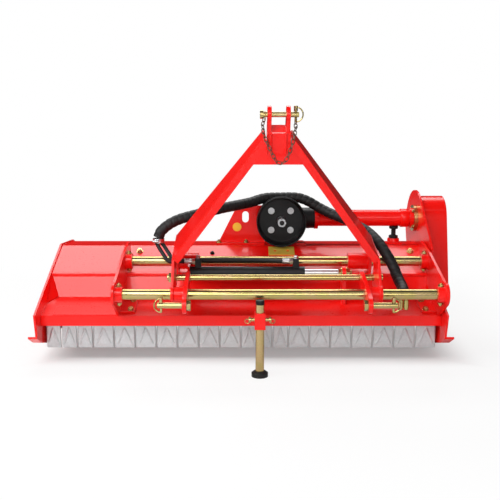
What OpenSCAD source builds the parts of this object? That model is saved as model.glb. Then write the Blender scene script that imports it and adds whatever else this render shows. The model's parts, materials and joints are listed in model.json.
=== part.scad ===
// Flail mower with a hydraulic side shift, for a tractor's three-point hitch.
// Millimetres. X runs along the working width, Y points to the rear, Z is up from the ground.

/* [Deck] */
// Inside width between the side plates
working_w = 1550; // [1400:10:1700]
// Thickness of the folded deck sheet
deck_t = 6; // [4:1:8]
// Thickness of a side plate
side_t = 8; // [6:1:10]
// How far a side plate stands proud of the deck sheet
side_proud = 7; // [4:1:10]
// Front face of the front beam
beam_y = -45; // [-55:1:-40]
// Bottom of the front beam
beam_low_z = 160; // [150:1:165]
// Top of the front beam
beam_top_z = 201; // [190:1:210]
// Lip folded back under the front beam
beam_lip = 25; // [15:1:28]
// Rear end of the front ledge, along Y
ledge_y = 108; // [100:1:115]
// Rear end of the front ledge, height
ledge_z = 238; // [230:1:245]
// Crease of the front slope, along Y
crease_y = 156; // [150:1:162]
// Crease of the front slope, height
crease_z = 330; // [322:1:336]
// Front edge of the crown, along Y
crown_y = 343; // [335:1:350]
// Front edge of the crown, height
crown_z = 410; // [404:1:416]
// Rear edge of the crown, along Y
crown_back_y = 568; // [560:1:580]
// Rear edge of the crown, height
crown_back_z = 393; // [386:1:400]
// Rear wall, along Y
rear_y = 682; // [670:1:700]
// Bottom of the rear wall
rear_low_z = 165; // [155:1:180]
// Bottom edge of the side plates
plate_low_z = 68; // [64:1:80]
// Radius of the round hump on the right side plate
hump_r = 160; // [130:1:170]

/* [Skids and flaps] */
// Thickness of a skid strip
skid_t = 8; // [5:1:10]
// Width of a skid strip
skid_w = 36; // [25:1:50]
// Height of a skid's turned-up tip
skid_tip_z = 132; // [110:1:150]
// Height of the flap rod
flap_rod_z = 172; // [170:1:176]
// Radius of the flap rod
flap_rod_r = 6; // [5:0.5:7]
// Thickness of a flap
flap_t = 3; // [2:0.5:4]
// Bottom edge of the flaps
flap_low_z = 59; // [50:1:80]
// Width of a narrow flap
narrow_flap_w = 62; // [50:1:75]

/* [Slide tubes] */
// Radius of the two slide tubes
tube_r = 20; // [16:0.5:22]
// Lower slide tube, along Y
lower_tube_y = -120; // [-130:1:-115]
// Lower slide tube, height
lower_tube_z = 303; // [298:1:310]
// Upper slide tube, along Y
upper_tube_y = 150; // [146:1:154]
// Upper slide tube, height
upper_tube_z = 378; // [374:1:384]
// Outer face of the left tube bracket
tube_left_x = -480; // [-500:1:-470]
// Space between the right tube bracket and the right side plate
tube_right_in = 5; // [2:1:20]
// Thickness of a tube bracket
bracket_t = 10; // [8:1:12]
// Length of the collars on the tube brackets
collar_l = 28; // [20:1:32]

/* [Hitch frame] */
// Middle of the hitch frame, along X
hitch_x = 132; // [120:1:140]
// Width over the hitch side plates
hitch_w = 788; // [760:1:800]
// Thickness of a hitch side plate
hitch_t = 10; // [8:1:12]
// Thickness of a lower lug plate
lug_t = 15; // [12:1:18]
// Clear space between a side plate and its lower lug plate
lug_gap = 39; // [30:1:45]
// Radius of the lower hitch pins
hitch_pin_r = 11; // [9.5:0.5:14]
// Free length of a lower hitch pin outside its lug
hitch_pin_l = 92; // [80:1:95]
// Radius of the top link pin
top_pin_r = 9.5; // [9:0.5:12.5]
// Clear space between the two top ears
ear_gap = 52; // [44:1:56]
// Thickness of a top ear
ear_t = 14; // [10:1:16]
// Radius of the tie rod
tie_r = 12.5; // [10:0.5:14]
// Length of an upper slide bush
bush_l = 82; // [60:1:90]
// Outside radius of an upper slide bush
bush_r = 32; // [28:0.5:34]

/* [Drive] */
// Middle of the gearbox, along X
gear_x = 173; // [168:1:178]
// Cross shaft, along Y
drive_y = 445; // [440:1:450]
// Cross shaft, height
drive_z = 517; // [512:1:522]
// Radius of the drive shafts
shaft_r = 17.5; // [15:0.5:19]
// Outside radius of the drive tube
drive_tube_r = 36; // [32:0.5:40]
// Radius of the drive-shaft guard at its rim
guard_r = 106; // [95:1:107]
// Depth of the drive-shaft guard
guard_l = 60; // [45:1:66]
// Pitch radius of the upper pulley
upper_pulley_r = 80; // [75:1:84]
// Pitch radius of the lower pulley
lower_pulley_r = 64; // [60:1:70]
// Outside radius of the belt guard
belt_guard_r = 98; // [94:1:104]
// Depth of the belt guard
belt_guard_w = 105; // [98:1:115]

/* [Rotor and roller] */
// Rotor axis, along Y
rotor_y = 370; // [360:1:380]
// Rotor axis, height
rotor_z = 225; // [222:1:230]
// Radius of the rotor tube
rotor_r = 45; // [38:1:50]
// Radius of the circle that the flail tips sweep
swing_r = 155; // [145:1:158]
// Distance of the flail pins from the rotor axis
flail_pin_at = 85; // [80:1:88]
// Radius of a flail pin
flail_pin_r = 8; // [6:0.5:9]
// Width of a flail
flail_w = 40; // [30:1:46]
// Radius of the rotor's stub shafts
stub_r = 22.5; // [20:0.5:25]
// Radius of the rear roller, which stands on the ground
roller_r = 70; // [60:1:76]
// Rear roller axis, along Y
roller_y = 640; // [630:1:650]
// Radius of the roller's axle ends
axle_r = 15; // [12:0.5:18]

/* [Parking jack] */
// Jack leg, along X
jack_x = 70; // [60:1:80]
// Jack leg, along Y
jack_y = -165; // [-172:1:-163]
// Radius of the jack leg
jack_r = 16; // [14:0.5:18]
// Top of the jack leg
jack_top_z = 276; // [265:1:290]
// Radius of the jack foot
jack_foot_r = 31; // [26:1:36]

/* [Side-shift cylinder] */
// Outside radius of the barrel
barrel_r = 25; // [24:0.5:28]
// Radius of the piston rod
rod_r = 14; // [11:0.5:16]
// Left end of the barrel
barrel_x0 = -202; // [-206:1:-200]
// Right end of the barrel
barrel_x1 = 252; // [245:1:258]
// Right face of the rod's lug on the deck
rod_lug_x = 415; // [410:1:420]
// Radius of the wrapped hose sleeve
sleeve_r = 22; // [18:0.5:23]
// Radius of a bare hose
hose_r = 8; // [6:0.5:8]

/* [Hidden] */
$fn = 64;
red = "#d8130f";
gold = "#c9b26a";
black = "#1b1b1c";
grey = "#b4b8ba";
steel = "#6f7376";
rust = "#4a352b";
// Clearances: shafts that run, bushes that slide, loose hinges
run_gap = 0.08;
slide_gap = 0.1;
loose_gap = 0.3;
// Step between a round end and the straight side that leaves it
side_step = 0.2;

// Deck outline, from the front lip over the crown to the rear wall, as [Y, Z]
half_w = working_w / 2;
tube_right_x = half_w - tube_right_in;
shoulder = [(crown_back_y + rear_y) / 2 + 15, crown_back_z - 31];
rear_top_z = crown_back_z - 118;
beam_top = [beam_y, beam_top_z];
ledge = [ledge_y, ledge_z];
crease = [crease_y, crease_z];
crown = [crown_y, crown_z];
crown_back = [crown_back_y, crown_back_z];
deck_top = [beam_top, ledge, crease, crown, crown_back, shoulder, [rear_y, rear_top_z],
    [rear_y, rear_low_z]];
// The side plates run straight from a nose in front of the beam to the crease, over the ledge
nose = beam_top + [-70, 12];
side_top = concat([nose], [for (p = deck_top) if (p != beam_top && p != ledge) p]);
deck_line = concat([[beam_y + beam_lip, beam_low_z], [beam_y, beam_low_z]], deck_top);
// Line of the skids, which the side plates stand on
skid_rear_y = 490;
skid_line = [[-100, skid_tip_z], [-36, plate_low_z + 30], [60, plate_low_z], [skid_rear_y, plate_low_z]];
side_foot_rear = 600;
side_low = [[rear_y + side_proud, rear_low_z], [side_foot_rear, plate_low_z], skid_line[2],
            skid_line[1], skid_line[0]];

// Places that several pieces share, as [Y, Z]
drive_at = [drive_y, drive_z];
rotor_at = [rotor_y, rotor_z];
roller_at = [roller_y, roller_r];
lower_tube = [lower_tube_y, lower_tube_z];
upper_tube = [upper_tube_y, upper_tube_z];
flap_rod = [0, flap_rod_z];
outer_x = half_w + side_t;

// Part origin: middle of the base of the whole machine
pin_lug_r = 30;
pin_reach = 83;
min_x = -half_w - skid_w;
max_x = outer_x + belt_guard_w;
hitch_tilt = atan2(upper_tube_z - lower_tube_z, upper_tube_y - lower_tube_y);
pin_at = lower_tube - pin_reach * [cos(hitch_tilt), sin(hitch_tilt)];
min_y = pin_at.x - pin_lug_r;
max_y = roller_y + roller_r;
origin = [(min_x + max_x) / 2, (min_y + max_y) / 2, 0];

// Hitch frame, in its own tilted frame: Y along the line through both tubes, Z square to it
tube_pitch = norm(upper_tube - lower_tube);
hitch_x0 = hitch_x - hitch_w / 2;
bend_z = 105;
mast_z = 580;
leg_front = 80;
leg_back = 309;
leg_top_back = 185;
leg_top_half = 54;
leg_lean = atan2(hitch_w / 2 - leg_top_half, mast_z - bend_z);
leg_l = (mast_z - bend_z) / cos(leg_lean);
flange_w = 28;
flange_t = 8;
lower_lobe_r = 33;
upper_lobe_r = 40;
lobe_in = 3;
// How far one welded plate reaches into the next
weld_in = 1;
tie_at = [126, 5];
arch_at = [192, 25];
arch_r = 43;
top_pin_at = [112, 655];
ear_r = 30;
ear_low_z = 520;
gusset_low_z = 482;
gusset_top_z = 597;
lug_x0 = hitch_x0 + hitch_t + lug_gap;
lug_arm_r = 36;
lug_tail_r = 24;
pin_head_l = 15;
pin_step = 1.5;
pin_relief = 0.5;
pin_neck = 3;
pin_tip = 28;
hex_r = 20;
linch_r = 4.5;
linch_in = 14;
linch_up = 30;
ring_r = 2.5;
ring_bend = 28;

// Side-shift cylinder axis and the hose ends on it
barrel_at = [62, 348];
barrel_bore_r = barrel_r - 4;
barrel_head_l = 30;
barrel_base_l = 17;
piston_in = 232;
piston_x = barrel_x0 + piston_in;
piston_l = 25;
rod_lug_t = 15;
rod_lug_r = 26;
port_w = 24;
port_z = barrel_at.y + barrel_r - 3;
port_top_z = 406;

// Drive line
gear_w = 140;
gear_front_y = drive_y - 80;
gear_back_y = drive_y + 75;
gear_low_z = drive_z - 72;
gear_top_z = drive_z + 71;
gear_wall = 12;
lid_step = 8;
front_wall = 18;
boss_r = 45;
boss_l = 82;
boss_x1 = gear_x + gear_w / 2 + boss_l;
flange_x1 = boss_x1 + 15;
drive_flange_l = 15;
tube_wall = 6;
guard_floor_y = gear_front_y - 5;
guard_y0 = guard_floor_y - guard_l;
guard_wall = 4;
guard_bolt_at = 59 / sqrt(2);
guard_bolt_r = 5;
guard_bolt_l = 14;
pto_y0 = guard_y0 - 25;
// Bevel gears: the input gear has three times the pinion's teeth
bevel_ratio = 3;
bevel_clear = 4;
bevel_big_r = gear_w / 2 - gear_wall - bevel_clear;
bevel_small_r = 30;
bevel_gap = 0.4;
bevel_back = 42;
pulley_x0 = outer_x + 35;
pulley_w = 48;
groove_n = 3;
groove_pitch = 15;
groove_deep = 10;
belt_half = 4.9;
belt_deep = 7;
belt_proud = 1;

// Rotor
rotor_end = half_w - 35;
rows = 4;
row_flails = 5;
row_end = 15;
flail_pitch = 2 * (rotor_end - row_end) / row_flails;
lug_plate_t = 6;
lug_plate_r = 16;
flail_eye_r = 14;
bearing_flange_r = 60;
bearing_flange_t = 10;
bearing_boss_r = 38;
bearing_l = 25;
arm_t = 10;
rotor_wall = 8;
roller_wall = 5;
end_plug = 30;
centre_r = 4;

// Hose routes: round points chosen along each run, as [X, Y, Z]
sleeve_route = [[-333, 139, 478], [-322, 141, 503], [-291, 150, 529], [-251, 163, 548], [-200, 180, 561],
    [-140, 205, 573], [-83, 235, 584], [-21, 275, 592], [39, 335, 598], [103, 380, 612], [173, 402, 613],
    [243, 404, 612], [290, 397, 598], [340, 386, 570], [385, 358, 549], [444, 312, 528], [492, 262, 507],
    [527, 215, 487], [558, 152, 456], [583, 106, 416], [606, 82, 373], [620, 52, 332], [627, 5, 308],
    [626, -40, 297], [624, -50, 282]];
short_hose = [[-182, 62, 394], [-225, 64, 394], [-262, 66, 392], [-290, 84, 391], [-309, 108, 409],
    [-332, 128, 440], [-342, 137, 460], [-342, 138, 467]];
long_hose = [[205, 62, 394], [160, 68, 394], [100, 80, 394], [0, 84, 394], [-150, 84, 394], [-262, 86, 394],
    [-281, 110, 404], [-296, 127, 422], [-312, 138, 444], [-323, 141, 459], [-323, 141, 467]];
chain_route = [[72, -188, 948.6], [72, -192, 936], [78, -217, 900], [98, -219, 850], [120, -219, 808],
    [138, -219, 797], [158, -219, 810], [178, -218, 862], [189, -204, 910], [191, -188, 926],
    [191, -188, 939.6]];
clamp_l = 14;
clamp_at = [-333, 139, 452];
coupler_l = 55;
coupler_r = 10.5;
chain_r = 5;

// Height of the deck's outer face at y
function deck_z(y) = lookup(y, [for (p = [beam_top, ledge, crease, crown, crown_back]) [p.x, p.y]]);
// Unit direction from p to q, and the direction to its left
function toward(p, q) = (q - p) / norm(q - p);
function left_of(d) = [-d.y, d.x];
// Corner i of the open line pts, moved to its left by s
function moved_corner(pts, i, s) =
    let (n = len(pts),
         a = i > 0 ? toward(pts[i - 1], pts[i]) : toward(pts[0], pts[1]),
         b = i < n - 1 ? toward(pts[i], pts[i + 1]) : a,
         na = left_of(a),
         nb = left_of(b))
    pts[i] + s * (na + nb) / (1 + na * nb);
function moved_line(pts, s) = [for (i = [0 : len(pts) - 1]) moved_corner(pts, i, s)];
function backwards(pts) = [for (i = [len(pts) - 1 : -1 : 0]) pts[i]];
// Outline of a sheet of thickness t on the right of the line pts
function sheet(pts, t) = concat(pts, backwards(moved_line(pts, -t)));
// Side of the belt from circle c1 to circle c2, as the direction from each centre to its tangent point
function belt_side(c1, r1, c2, r2, s) =
    let (d = norm(c2 - c1), u = (c2 - c1) / d, k = (r1 - r2) / d) u * k + s * left_of(u) * sqrt(1 - k * k);

// Smooth curve through the points of a route, n pieces to a span
function spline_at(p, i, t) =
    let (n = len(p),
         a = p[max(i - 1, 0)], b = p[i], c = p[min(i + 1, n - 1)], d = p[min(i + 2, n - 1)])
    0.5 * (2 * b + (c - a) * t + (2 * a - 5 * b + 4 * c - d) * t * t + (3 * b - a - 3 * c + d) * t * t * t);
function smooth(p, n) =
    concat([for (i = [0 : len(p) - 2], j = [0 : n - 1]) spline_at(p, i, j / n)], [p[len(p) - 1]]);
// The part of v that is square to direction d, with length 1
function carried(v, d) = let (w = v - d * (v * d)) w / norm(w);
function heading(p, i) = let (d = p[min(i + 1, len(p) - 1)] - p[max(i - 1, 0)]) d / norm(d);
function side_start(d) = let (s = cross(d, abs(d.z) > 0.9 ? [1, 0, 0] : [0, 0, 1])) s / norm(s);
// Sideways directions along a curve, each carried on from the one before
function sideways(p, i) =
    [for (k = 0, v = side_start(heading(p, 0)); k <= i;
          k = k + 1, v = k <= i ? carried(v, heading(p, k)) : v) v];

// Round solid swept along the points p, with radius radii[i] at point i
module swept(p, radii, sides) {
    n = len(p);
    v = sideways(p, n - 1);
    rings = [for (i = [0 : n - 1], j = [0 : sides - 1])
        let (d = heading(p, i), a = 360 * j / sides)
        p[i] + radii[i] * (cos(a) * v[i] + sin(a) * cross(d, v[i]))];
    walls = [for (i = [0 : n - 2], j = [0 : sides - 1], half = [0, 1])
        let (a = i * sides + j, b = i * sides + (j + 1) % sides)
        half == 0 ? [a, a + sides, b] : [b, a + sides, b + sides]];
    first = [for (j = [1 : sides - 2]) [0, j, j + 1]];
    last = [for (j = [1 : sides - 2]) let (o = (n - 1) * sides) [o, o + j + 1, o + j]];
    polyhedron(rings, concat(walls, first, last), convexity = 8);
}

module painted(paint) {
    color(paint) translate(-origin) children();
}

// Flat outlines in Y and Z, each extruded from x0 to x1
module along_x(x0, x1) {
    for (i = [0 : $children - 1])
        translate([x0, 0, 0]) rotate([90, 0, 90]) linear_extrude(x1 - x0) children(i);
}

// A round bar along X between x0 and x1, at at = [Y, Z]
module rod_x(x0, x1, r, at) {
    translate([x0, at.x, at.y]) rotate([0, 90, 0]) cylinder(h = x1 - x0, r = r);
}

// A round bar along Y between y0 and y1, at x and z
module rod_y(y0, y1, r, x, z) {
    translate([x, y0, z]) rotate([-90, 0, 0]) cylinder(h = y1 - y0, r = r);
}

// A hex bar along X
module hex_x(x0, x1, r, at) {
    translate([x0, at.x, at.y]) rotate([0, 90, 0]) cylinder(h = x1 - x0, r = r, $fn = 6);
}

// Plate from x0 to x1 that wraps two circles; its straight sides stand a hair outside, so no face is tangent
module capsule_x(x0, x1, c1, r1, c2, r2) {
    a = belt_side(c1, r1, c2, r2, 1);
    b = belt_side(c1, r1, c2, r2, -1);
    s1 = r1 + side_step;
    s2 = r2 + side_step;
    rod_x(x0, x1, r1, c1);
    rod_x(x0, x1, r2, c2);
    along_x(x0, x1) polygon([c1 + s1 * a, c2 + s2 * a, c2 + s2 * b, c1 + s1 * b]);
}

module in_hitch() {
    translate([0, lower_tube_y, lower_tube_z]) rotate([hitch_tilt, 0, 0]) children();
}

// Mirror image about the middle of the hitch
module hitch_mirror() {
    translate([2 * hitch_x, 0, 0]) mirror([1, 0, 0]) children();
}

module other_side() {
    mirror([1, 0, 0]) children();
}

// Deck
module deck_shell() {
    painted(red) difference() {
        along_x(-half_w, half_w) polygon(sheet(deck_line, deck_t));
        foot_bolt_places() translate([0, 0, -2 * deck_t])
            cylinder(h = 3 * deck_t, r = foot_bolt_r + loose_gap);
    }
}

module side_outline() {
    polygon(concat(moved_line(side_top, side_proud), side_low));
}

module side_holes() {
    rod_x(-outer_x - 1, outer_x + 1, flap_rod_r, flap_rod);
    rod_x(-outer_x - 1, outer_x + 1, bearing_boss_r, rotor_at);
}

module left_side_plate() {
    painted(red) difference() {
        along_x(-outer_x, -half_w) side_outline();
        side_holes();
    }
}

hump_at = [drive_y + 25, drive_z - 39];
hump_front = [crease_y - 6, crease_z + 95];
hump_nose_r = 6;
module right_side_plate() {
    painted(red) difference() {
        union() {
            along_x(half_w, outer_x) {
                side_outline();
                polygon([hump_front, hump_front - [0, 140], [hump_at.x + hump_r, crown_back_z - 60],
                         hump_at]);
            }
            capsule_x(half_w, outer_x, hump_at, hump_r, hump_front, hump_nose_r);
        }
        side_holes();
        rod_x(half_w - 1, outer_x + 1, shaft_r + 12, drive_at);
    }
}

module skids() {
    painted(red) {
        along_x(-half_w - skid_w, -half_w) polygon(sheet(skid_line, skid_t));
        along_x(half_w, half_w + skid_w) polygon(sheet(skid_line, skid_t));
    }
}

module flap_rod_bar() {
    painted(steel) rod_x(-outer_x, outer_x, flap_rod_r, flap_rod);
}

// Tube brackets: a plate that stands on the deck, collars for both tubes and a bolted foot
foot_w = 58;
foot_l = 112;
foot_in = 18;
foot_t = 8;
foot_bolt_r = 6;
foot_bolts = [18, 92];
ledge_tilt = atan2(ledge_z - beam_top_z, ledge_y - beam_y);
bracket_tip = [282, 440];
bracket_lobe = tube_r + 25;
collar_r = tube_r + 11;

module on_ledge(x) {
    translate([x, beam_y, beam_top_z]) rotate([ledge_tilt, 0, 0]) children();
}

// Puts its children on every foot bolt, at the deck's face
module foot_bolt_places() {
    for (x = [tube_left_x + bracket_t + foot_w - 18, tube_right_x - bracket_t - foot_w + 18], y = foot_bolts)
        on_ledge(x) translate([0, foot_in + y, 0]) children();
}

module bracket_plate(x0, x1) {
    foot_back = bracket_tip.x + 15;
    rod_x(x0, x1, bracket_lobe, lower_tube);
    rod_x(x0, x1, bracket_lobe - 3, upper_tube);
    along_x(x0, x1) polygon([beam_top, ledge, crease, [foot_back, deck_z(foot_back)], bracket_tip,
                             bracket_tip - [25, 0],
        upper_tube + [-10, bracket_lobe - 4], lower_tube + [10, bracket_lobe - 2],
        lower_tube - [bracket_lobe, 0], lower_tube - [20, bracket_lobe - 5]]);
}

// Bracket with its plate from x0 to x0 + bracket_t, and its collars and foot on the side that way points to
module tube_bracket(x0, way) {
    mid = x0 + bracket_t / 2;
    collar_end = mid + way * (bracket_t / 2 + collar_l);
    foot_end = mid + way * (bracket_t / 2 + foot_w);
    painted(red) difference() {
        union() {
            bracket_plate(x0, x0 + bracket_t);
            for (at = [lower_tube, upper_tube])
                rod_x(min(mid, collar_end), max(mid, collar_end), collar_r, at);
            on_ledge(min(mid, foot_end)) translate([0, foot_in, 0])
                cube([abs(foot_end - mid), foot_l, foot_t]);
        }
        for (at = [lower_tube, upper_tube])
            rod_x(x0 - collar_l - 1, x0 + bracket_t + collar_l + 1, tube_r, at);
        foot_bolt_places() translate([0, 0, -1]) cylinder(h = foot_t + 2, r = foot_bolt_r + loose_gap);
    }
}

module left_tube_bracket() {
    tube_bracket(tube_left_x, 1);
}

module right_tube_bracket() {
    tube_bracket(tube_right_x - bracket_t, -1);
}

module lower_slide_tube() {
    painted(gold) rod_x(tube_left_x, tube_right_x, tube_r, lower_tube);
}

module upper_slide_tube() {
    painted(gold) rod_x(tube_left_x, tube_right_x, tube_r, upper_tube);
}

module bracket_bolts() {
    painted(gold) foot_bolt_places() {
        translate([0, 0, foot_t]) cylinder(h = 2, r = 2 * foot_bolt_r);
        translate([0, 0, foot_t + 2]) cylinder(h = 8, r = 1.7 * foot_bolt_r, $fn = 6);
        translate([0, 0, -deck_t - 10]) cylinder(h = foot_t + deck_t + 11, r = foot_bolt_r);
        translate([0, 0, -deck_t - 9]) cylinder(h = 9, r = 1.7 * foot_bolt_r, $fn = 6);
    }
}

// Gearbox
module gearbox_housing() {
    painted(black) difference() {
        union() {
            translate([gear_x - gear_w / 2, gear_front_y, gear_low_z])
                cube([gear_w, gear_back_y - gear_front_y, gear_top_z - gear_low_z - lid_step]);
            translate([gear_x - gear_w / 2 + lid_step, gear_front_y + lid_step, gear_low_z])
                cube([gear_w - 2 * lid_step, gear_back_y - gear_front_y - 2 * lid_step,
                      gear_top_z - gear_low_z]);
            rod_x(gear_x + gear_w / 2 - 1, boss_x1, boss_r, drive_at);
        }
        translate([gear_x - gear_w / 2 + gear_wall, gear_front_y + front_wall, gear_low_z + gear_wall])
            cube([gear_w - 2 * gear_wall, gear_back_y - gear_front_y - front_wall - gear_wall,
                  gear_top_z - gear_low_z - 2 * gear_wall]);
        rod_y(gear_front_y - 1, gear_front_y + front_wall + 1, shaft_r + run_gap, gear_x, drive_z);
        rod_x(gear_x, boss_x1 + 1, shaft_r + run_gap, drive_at);
        guard_bolt_places() rod_y(gear_front_y - 1, gear_front_y + guard_bolt_l, guard_bolt_r, 0, 0);
    }
}

// Support plate beside the gearbox, with a slot and a bolted base flange
support_x0 = -92;
support_x1 = gear_x - gear_w / 2;
support_y = drive_y - 53;
support_t = 10;
support_top_z = drive_z + 61;
support_flange_l = 42;
slot_at = [20, drive_z + 11];
slot_r = 14;
slot_half = 11;
module gearbox_support() {
    y0 = support_y;
    y1 = support_y + support_t;
    f0 = support_y - support_flange_l;
    painted(red) difference() {
        union() {
            translate([0, y1, 0]) rotate([90, 0, 0]) linear_extrude(support_t)
                polygon([[support_x0, deck_z(y0)], [support_x1, deck_z(y0)], [support_x1, support_top_z],
                         [support_x0 + 76, support_top_z], [support_x0, deck_z(y0) + 22]]);
            along_x(support_x0 - 14, support_x1)
                polygon([[f0, deck_z(f0)], [y1, deck_z(y1)], [y1, deck_z(y0) + 10], [f0, deck_z(f0) + 10]]);
        }
        for (z = [slot_at.y - slot_half, slot_at.y + slot_half])
            rod_y(y0 - 1, y1 + 1, slot_r, slot_at.x, z);
        translate([slot_at.x - slot_r - side_step, y0 - 1, slot_at.y - slot_half])
            cube([2 * (slot_r + side_step), support_t + 2, 2 * slot_half]);
    }
}

// Saddle that carries the gearbox on the crown
saddle_wide = 190;
saddle_half = 68;
saddle_foot = 15;
module gearbox_saddle() {
    y0 = drive_y - saddle_half;
    y1 = drive_y + saddle_half;
    foot = 8;
    painted(red) {
        along_x(gear_x - gear_w / 2 + 1, gear_x + gear_w / 2 - 1)
            polygon([[y0, deck_z(y0)], [y1, deck_z(y1)], [y1, gear_low_z], [y0, gear_low_z]]);
        along_x(gear_x + gear_w / 2 - 2, gear_x + saddle_wide / 2 + saddle_foot)
            polygon([[y0, deck_z(y0)], [y1, deck_z(y1)], [y1, deck_z(y1) + foot], [y0, deck_z(y0) + foot]]);
    }
}

// Plated bracket with two holes, bolted flat on the front slope below the guard
slope_tilt = atan2(crown_z - crease_z, crown_y - crease_y);
slope_l = norm(crown - crease);
plated_w = 110;
plated_l = 62;
plated_t = 5;
plated_in = 16;
module plated_bracket() {
    painted(gold) translate([gear_x, crease_y, crease_z]) rotate([slope_tilt, 0, 0])
        translate([0, slope_l - plated_l - plated_in, 0]) difference() {
            translate([-plated_w / 2, 0, 0]) cube([plated_w, plated_l, plated_t]);
            for (x = [-plated_w / 4, plated_w / 4])
                translate([x, plated_l / 2, -1]) cylinder(h = plated_t + 2, r = 7);
        }
}

module guard_bolt_places() {
    for (x = [-1, 1], z = [-1, 1])
        translate([gear_x + x * guard_bolt_at, 0, drive_z + z * guard_bolt_at]) children();
}

// Cup around the drive-shaft end
module pto_guard() {
    painted(black) difference() {
        translate([gear_x, gear_front_y, drive_z]) rotate([90, 0, 0]) rotate_extrude()
            polygon([[shaft_r + 2, 0], [guard_r - 12, 0], [guard_r, 12], [guard_r, guard_l + 5],
                     [guard_r - guard_wall, guard_l + 5], [guard_r - guard_wall, 14], [guard_r - 14, 5],
                     [shaft_r + 2, 5]]);
        guard_bolt_places() rod_y(gear_front_y - 10, gear_front_y + 1, guard_bolt_r + loose_gap, 0, 0);
    }
}

module guard_bolts() {
    painted(grey) guard_bolt_places() {
        rod_y(guard_floor_y - 2, guard_floor_y, 2.8 * guard_bolt_r, 0, 0);
        translate([0, guard_floor_y - 9, 0]) rotate([-90, 0, 0])
            cylinder(h = 8, r = 1.8 * guard_bolt_r, $fn = 6);
        rod_y(guard_floor_y - 3, gear_front_y + guard_bolt_l, guard_bolt_r, 0, 0);
    }
}

// Drive tube from the gearbox to the belt drive
module drive_tube() {
    painted(red) difference() {
        union() {
            rod_x(boss_x1, flange_x1, boss_r + flange_proud, drive_at);
            rod_x(boss_x1, half_w - drive_flange_l - 15, drive_tube_r, drive_at);
            rod_x(half_w - drive_flange_l - 15, half_w - drive_flange_l, drive_tube_r + 8, drive_at);
        }
        rod_x(boss_x1 - 1, half_w, drive_tube_r - tube_wall, drive_at);
    }
}

module drive_flange() {
    painted(gold) difference() {
        rod_x(half_w - drive_flange_l, half_w, drive_tube_r + 22, drive_at);
        rod_x(half_w - drive_flange_l - 1, half_w + 1, shaft_r + run_gap, drive_at);
    }
}

belt_wall = 3;
module belt_guard() {
    painted(red) difference() {
        capsule_x(outer_x, outer_x + belt_guard_w, drive_at, belt_guard_r, rotor_at, belt_guard_r);
        capsule_x(outer_x - 1, outer_x + belt_guard_w - belt_wall, drive_at, belt_guard_r - belt_wall,
                  rotor_at, belt_guard_r - belt_wall);
    }
}

function groove_x(i) = pulley_x0 + pulley_w / 2 + (i - (groove_n - 1) / 2) * groove_pitch;

module drive_belts() {
    painted(black) for (i = [0 : groove_n - 1])
        difference() {
            capsule_x(groove_x(i) - belt_half, groove_x(i) + belt_half, drive_at, upper_pulley_r + belt_proud,
                      rotor_at, lower_pulley_r + belt_proud);
            capsule_x(groove_x(i) - belt_half - 1, groove_x(i) + belt_half + 1, drive_at,
                      upper_pulley_r - belt_deep, rotor_at, lower_pulley_r - belt_deep);
        }
}

// Grooved pulley of rim radius r on a shaft of radius bore
module pulley(r, bore, at) {
    top = 6.5;
    low = 4.6;
    painted(steel) translate([pulley_x0, at.x, at.y]) rotate([90, 0, 90]) difference() {
        cylinder(h = pulley_w, r = r);
        translate([0, 0, -1]) cylinder(h = pulley_w + 2, r = bore);
        for (i = [0 : groove_n - 1])
            translate([0, 0, groove_x(i) - pulley_x0]) rotate_extrude()
                polygon([[r + 1, -top], [r + 1, top], [r, top], [r - groove_deep, low],
                         [r - groove_deep, -low], [r, -top]]);
    }
}

// Prop between the crown and the drive tube
prop_in = 95;
prop_x = half_w - prop_in;
prop_base = [56, 56, 34];
prop_r = 11;
module tube_prop() {
    tip = drive_z - drive_tube_r - loose_gap;
    y0 = drive_y - prop_base.y / 2;
    y1 = drive_y + prop_base.y / 2;
    base_z = crown_back_z + prop_base.z;
    painted(red) along_x(prop_x - prop_base.x / 2, prop_x + prop_base.x / 2)
        polygon([[y0, deck_z(y0)], [y1, deck_z(y1)], [y1, base_z], [y0, base_z]]);
    painted(black) translate([prop_x, drive_y, base_z]) {
        cylinder(h = tip - base_z, r = prop_r);
        cylinder(h = 10, r = 2 * prop_r, $fn = 6);
        translate([0, 0, tip - base_z - 8]) cylinder(h = 8, r = 1.8 * prop_r);
    }
}

module bearing_housing() {
    difference() {
        union() {
            rod_x(outer_x, outer_x + bearing_flange_t, bearing_flange_r, rotor_at);
            rod_x(outer_x, outer_x + bearing_l, bearing_boss_r, rotor_at);
        }
        rod_x(outer_x - 1, outer_x + bearing_l + 1, stub_r + run_gap, rotor_at);
    }
}

module bearing_housings() {
    painted(black) {
        bearing_housing();
        other_side() bearing_housing();
    }
}

// Arms that carry the rear roller, outside the side plates
arm_back = 30;
arm_h = 120;
arm_top = [roller_y - arm_back, roller_r + arm_h];
arm_top_r = 45;
arm_eye = 22;
module roller_arm() {
    difference() {
        capsule_x(outer_x, outer_x + arm_t, roller_at, axle_r + arm_eye, arm_top, arm_top_r);
        rod_x(outer_x - 1, outer_x + arm_t + 1, axle_r + run_gap, roller_at);
    }
}

module roller_arms() {
    painted(red) {
        roller_arm();
        other_side() roller_arm();
    }
}

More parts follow.
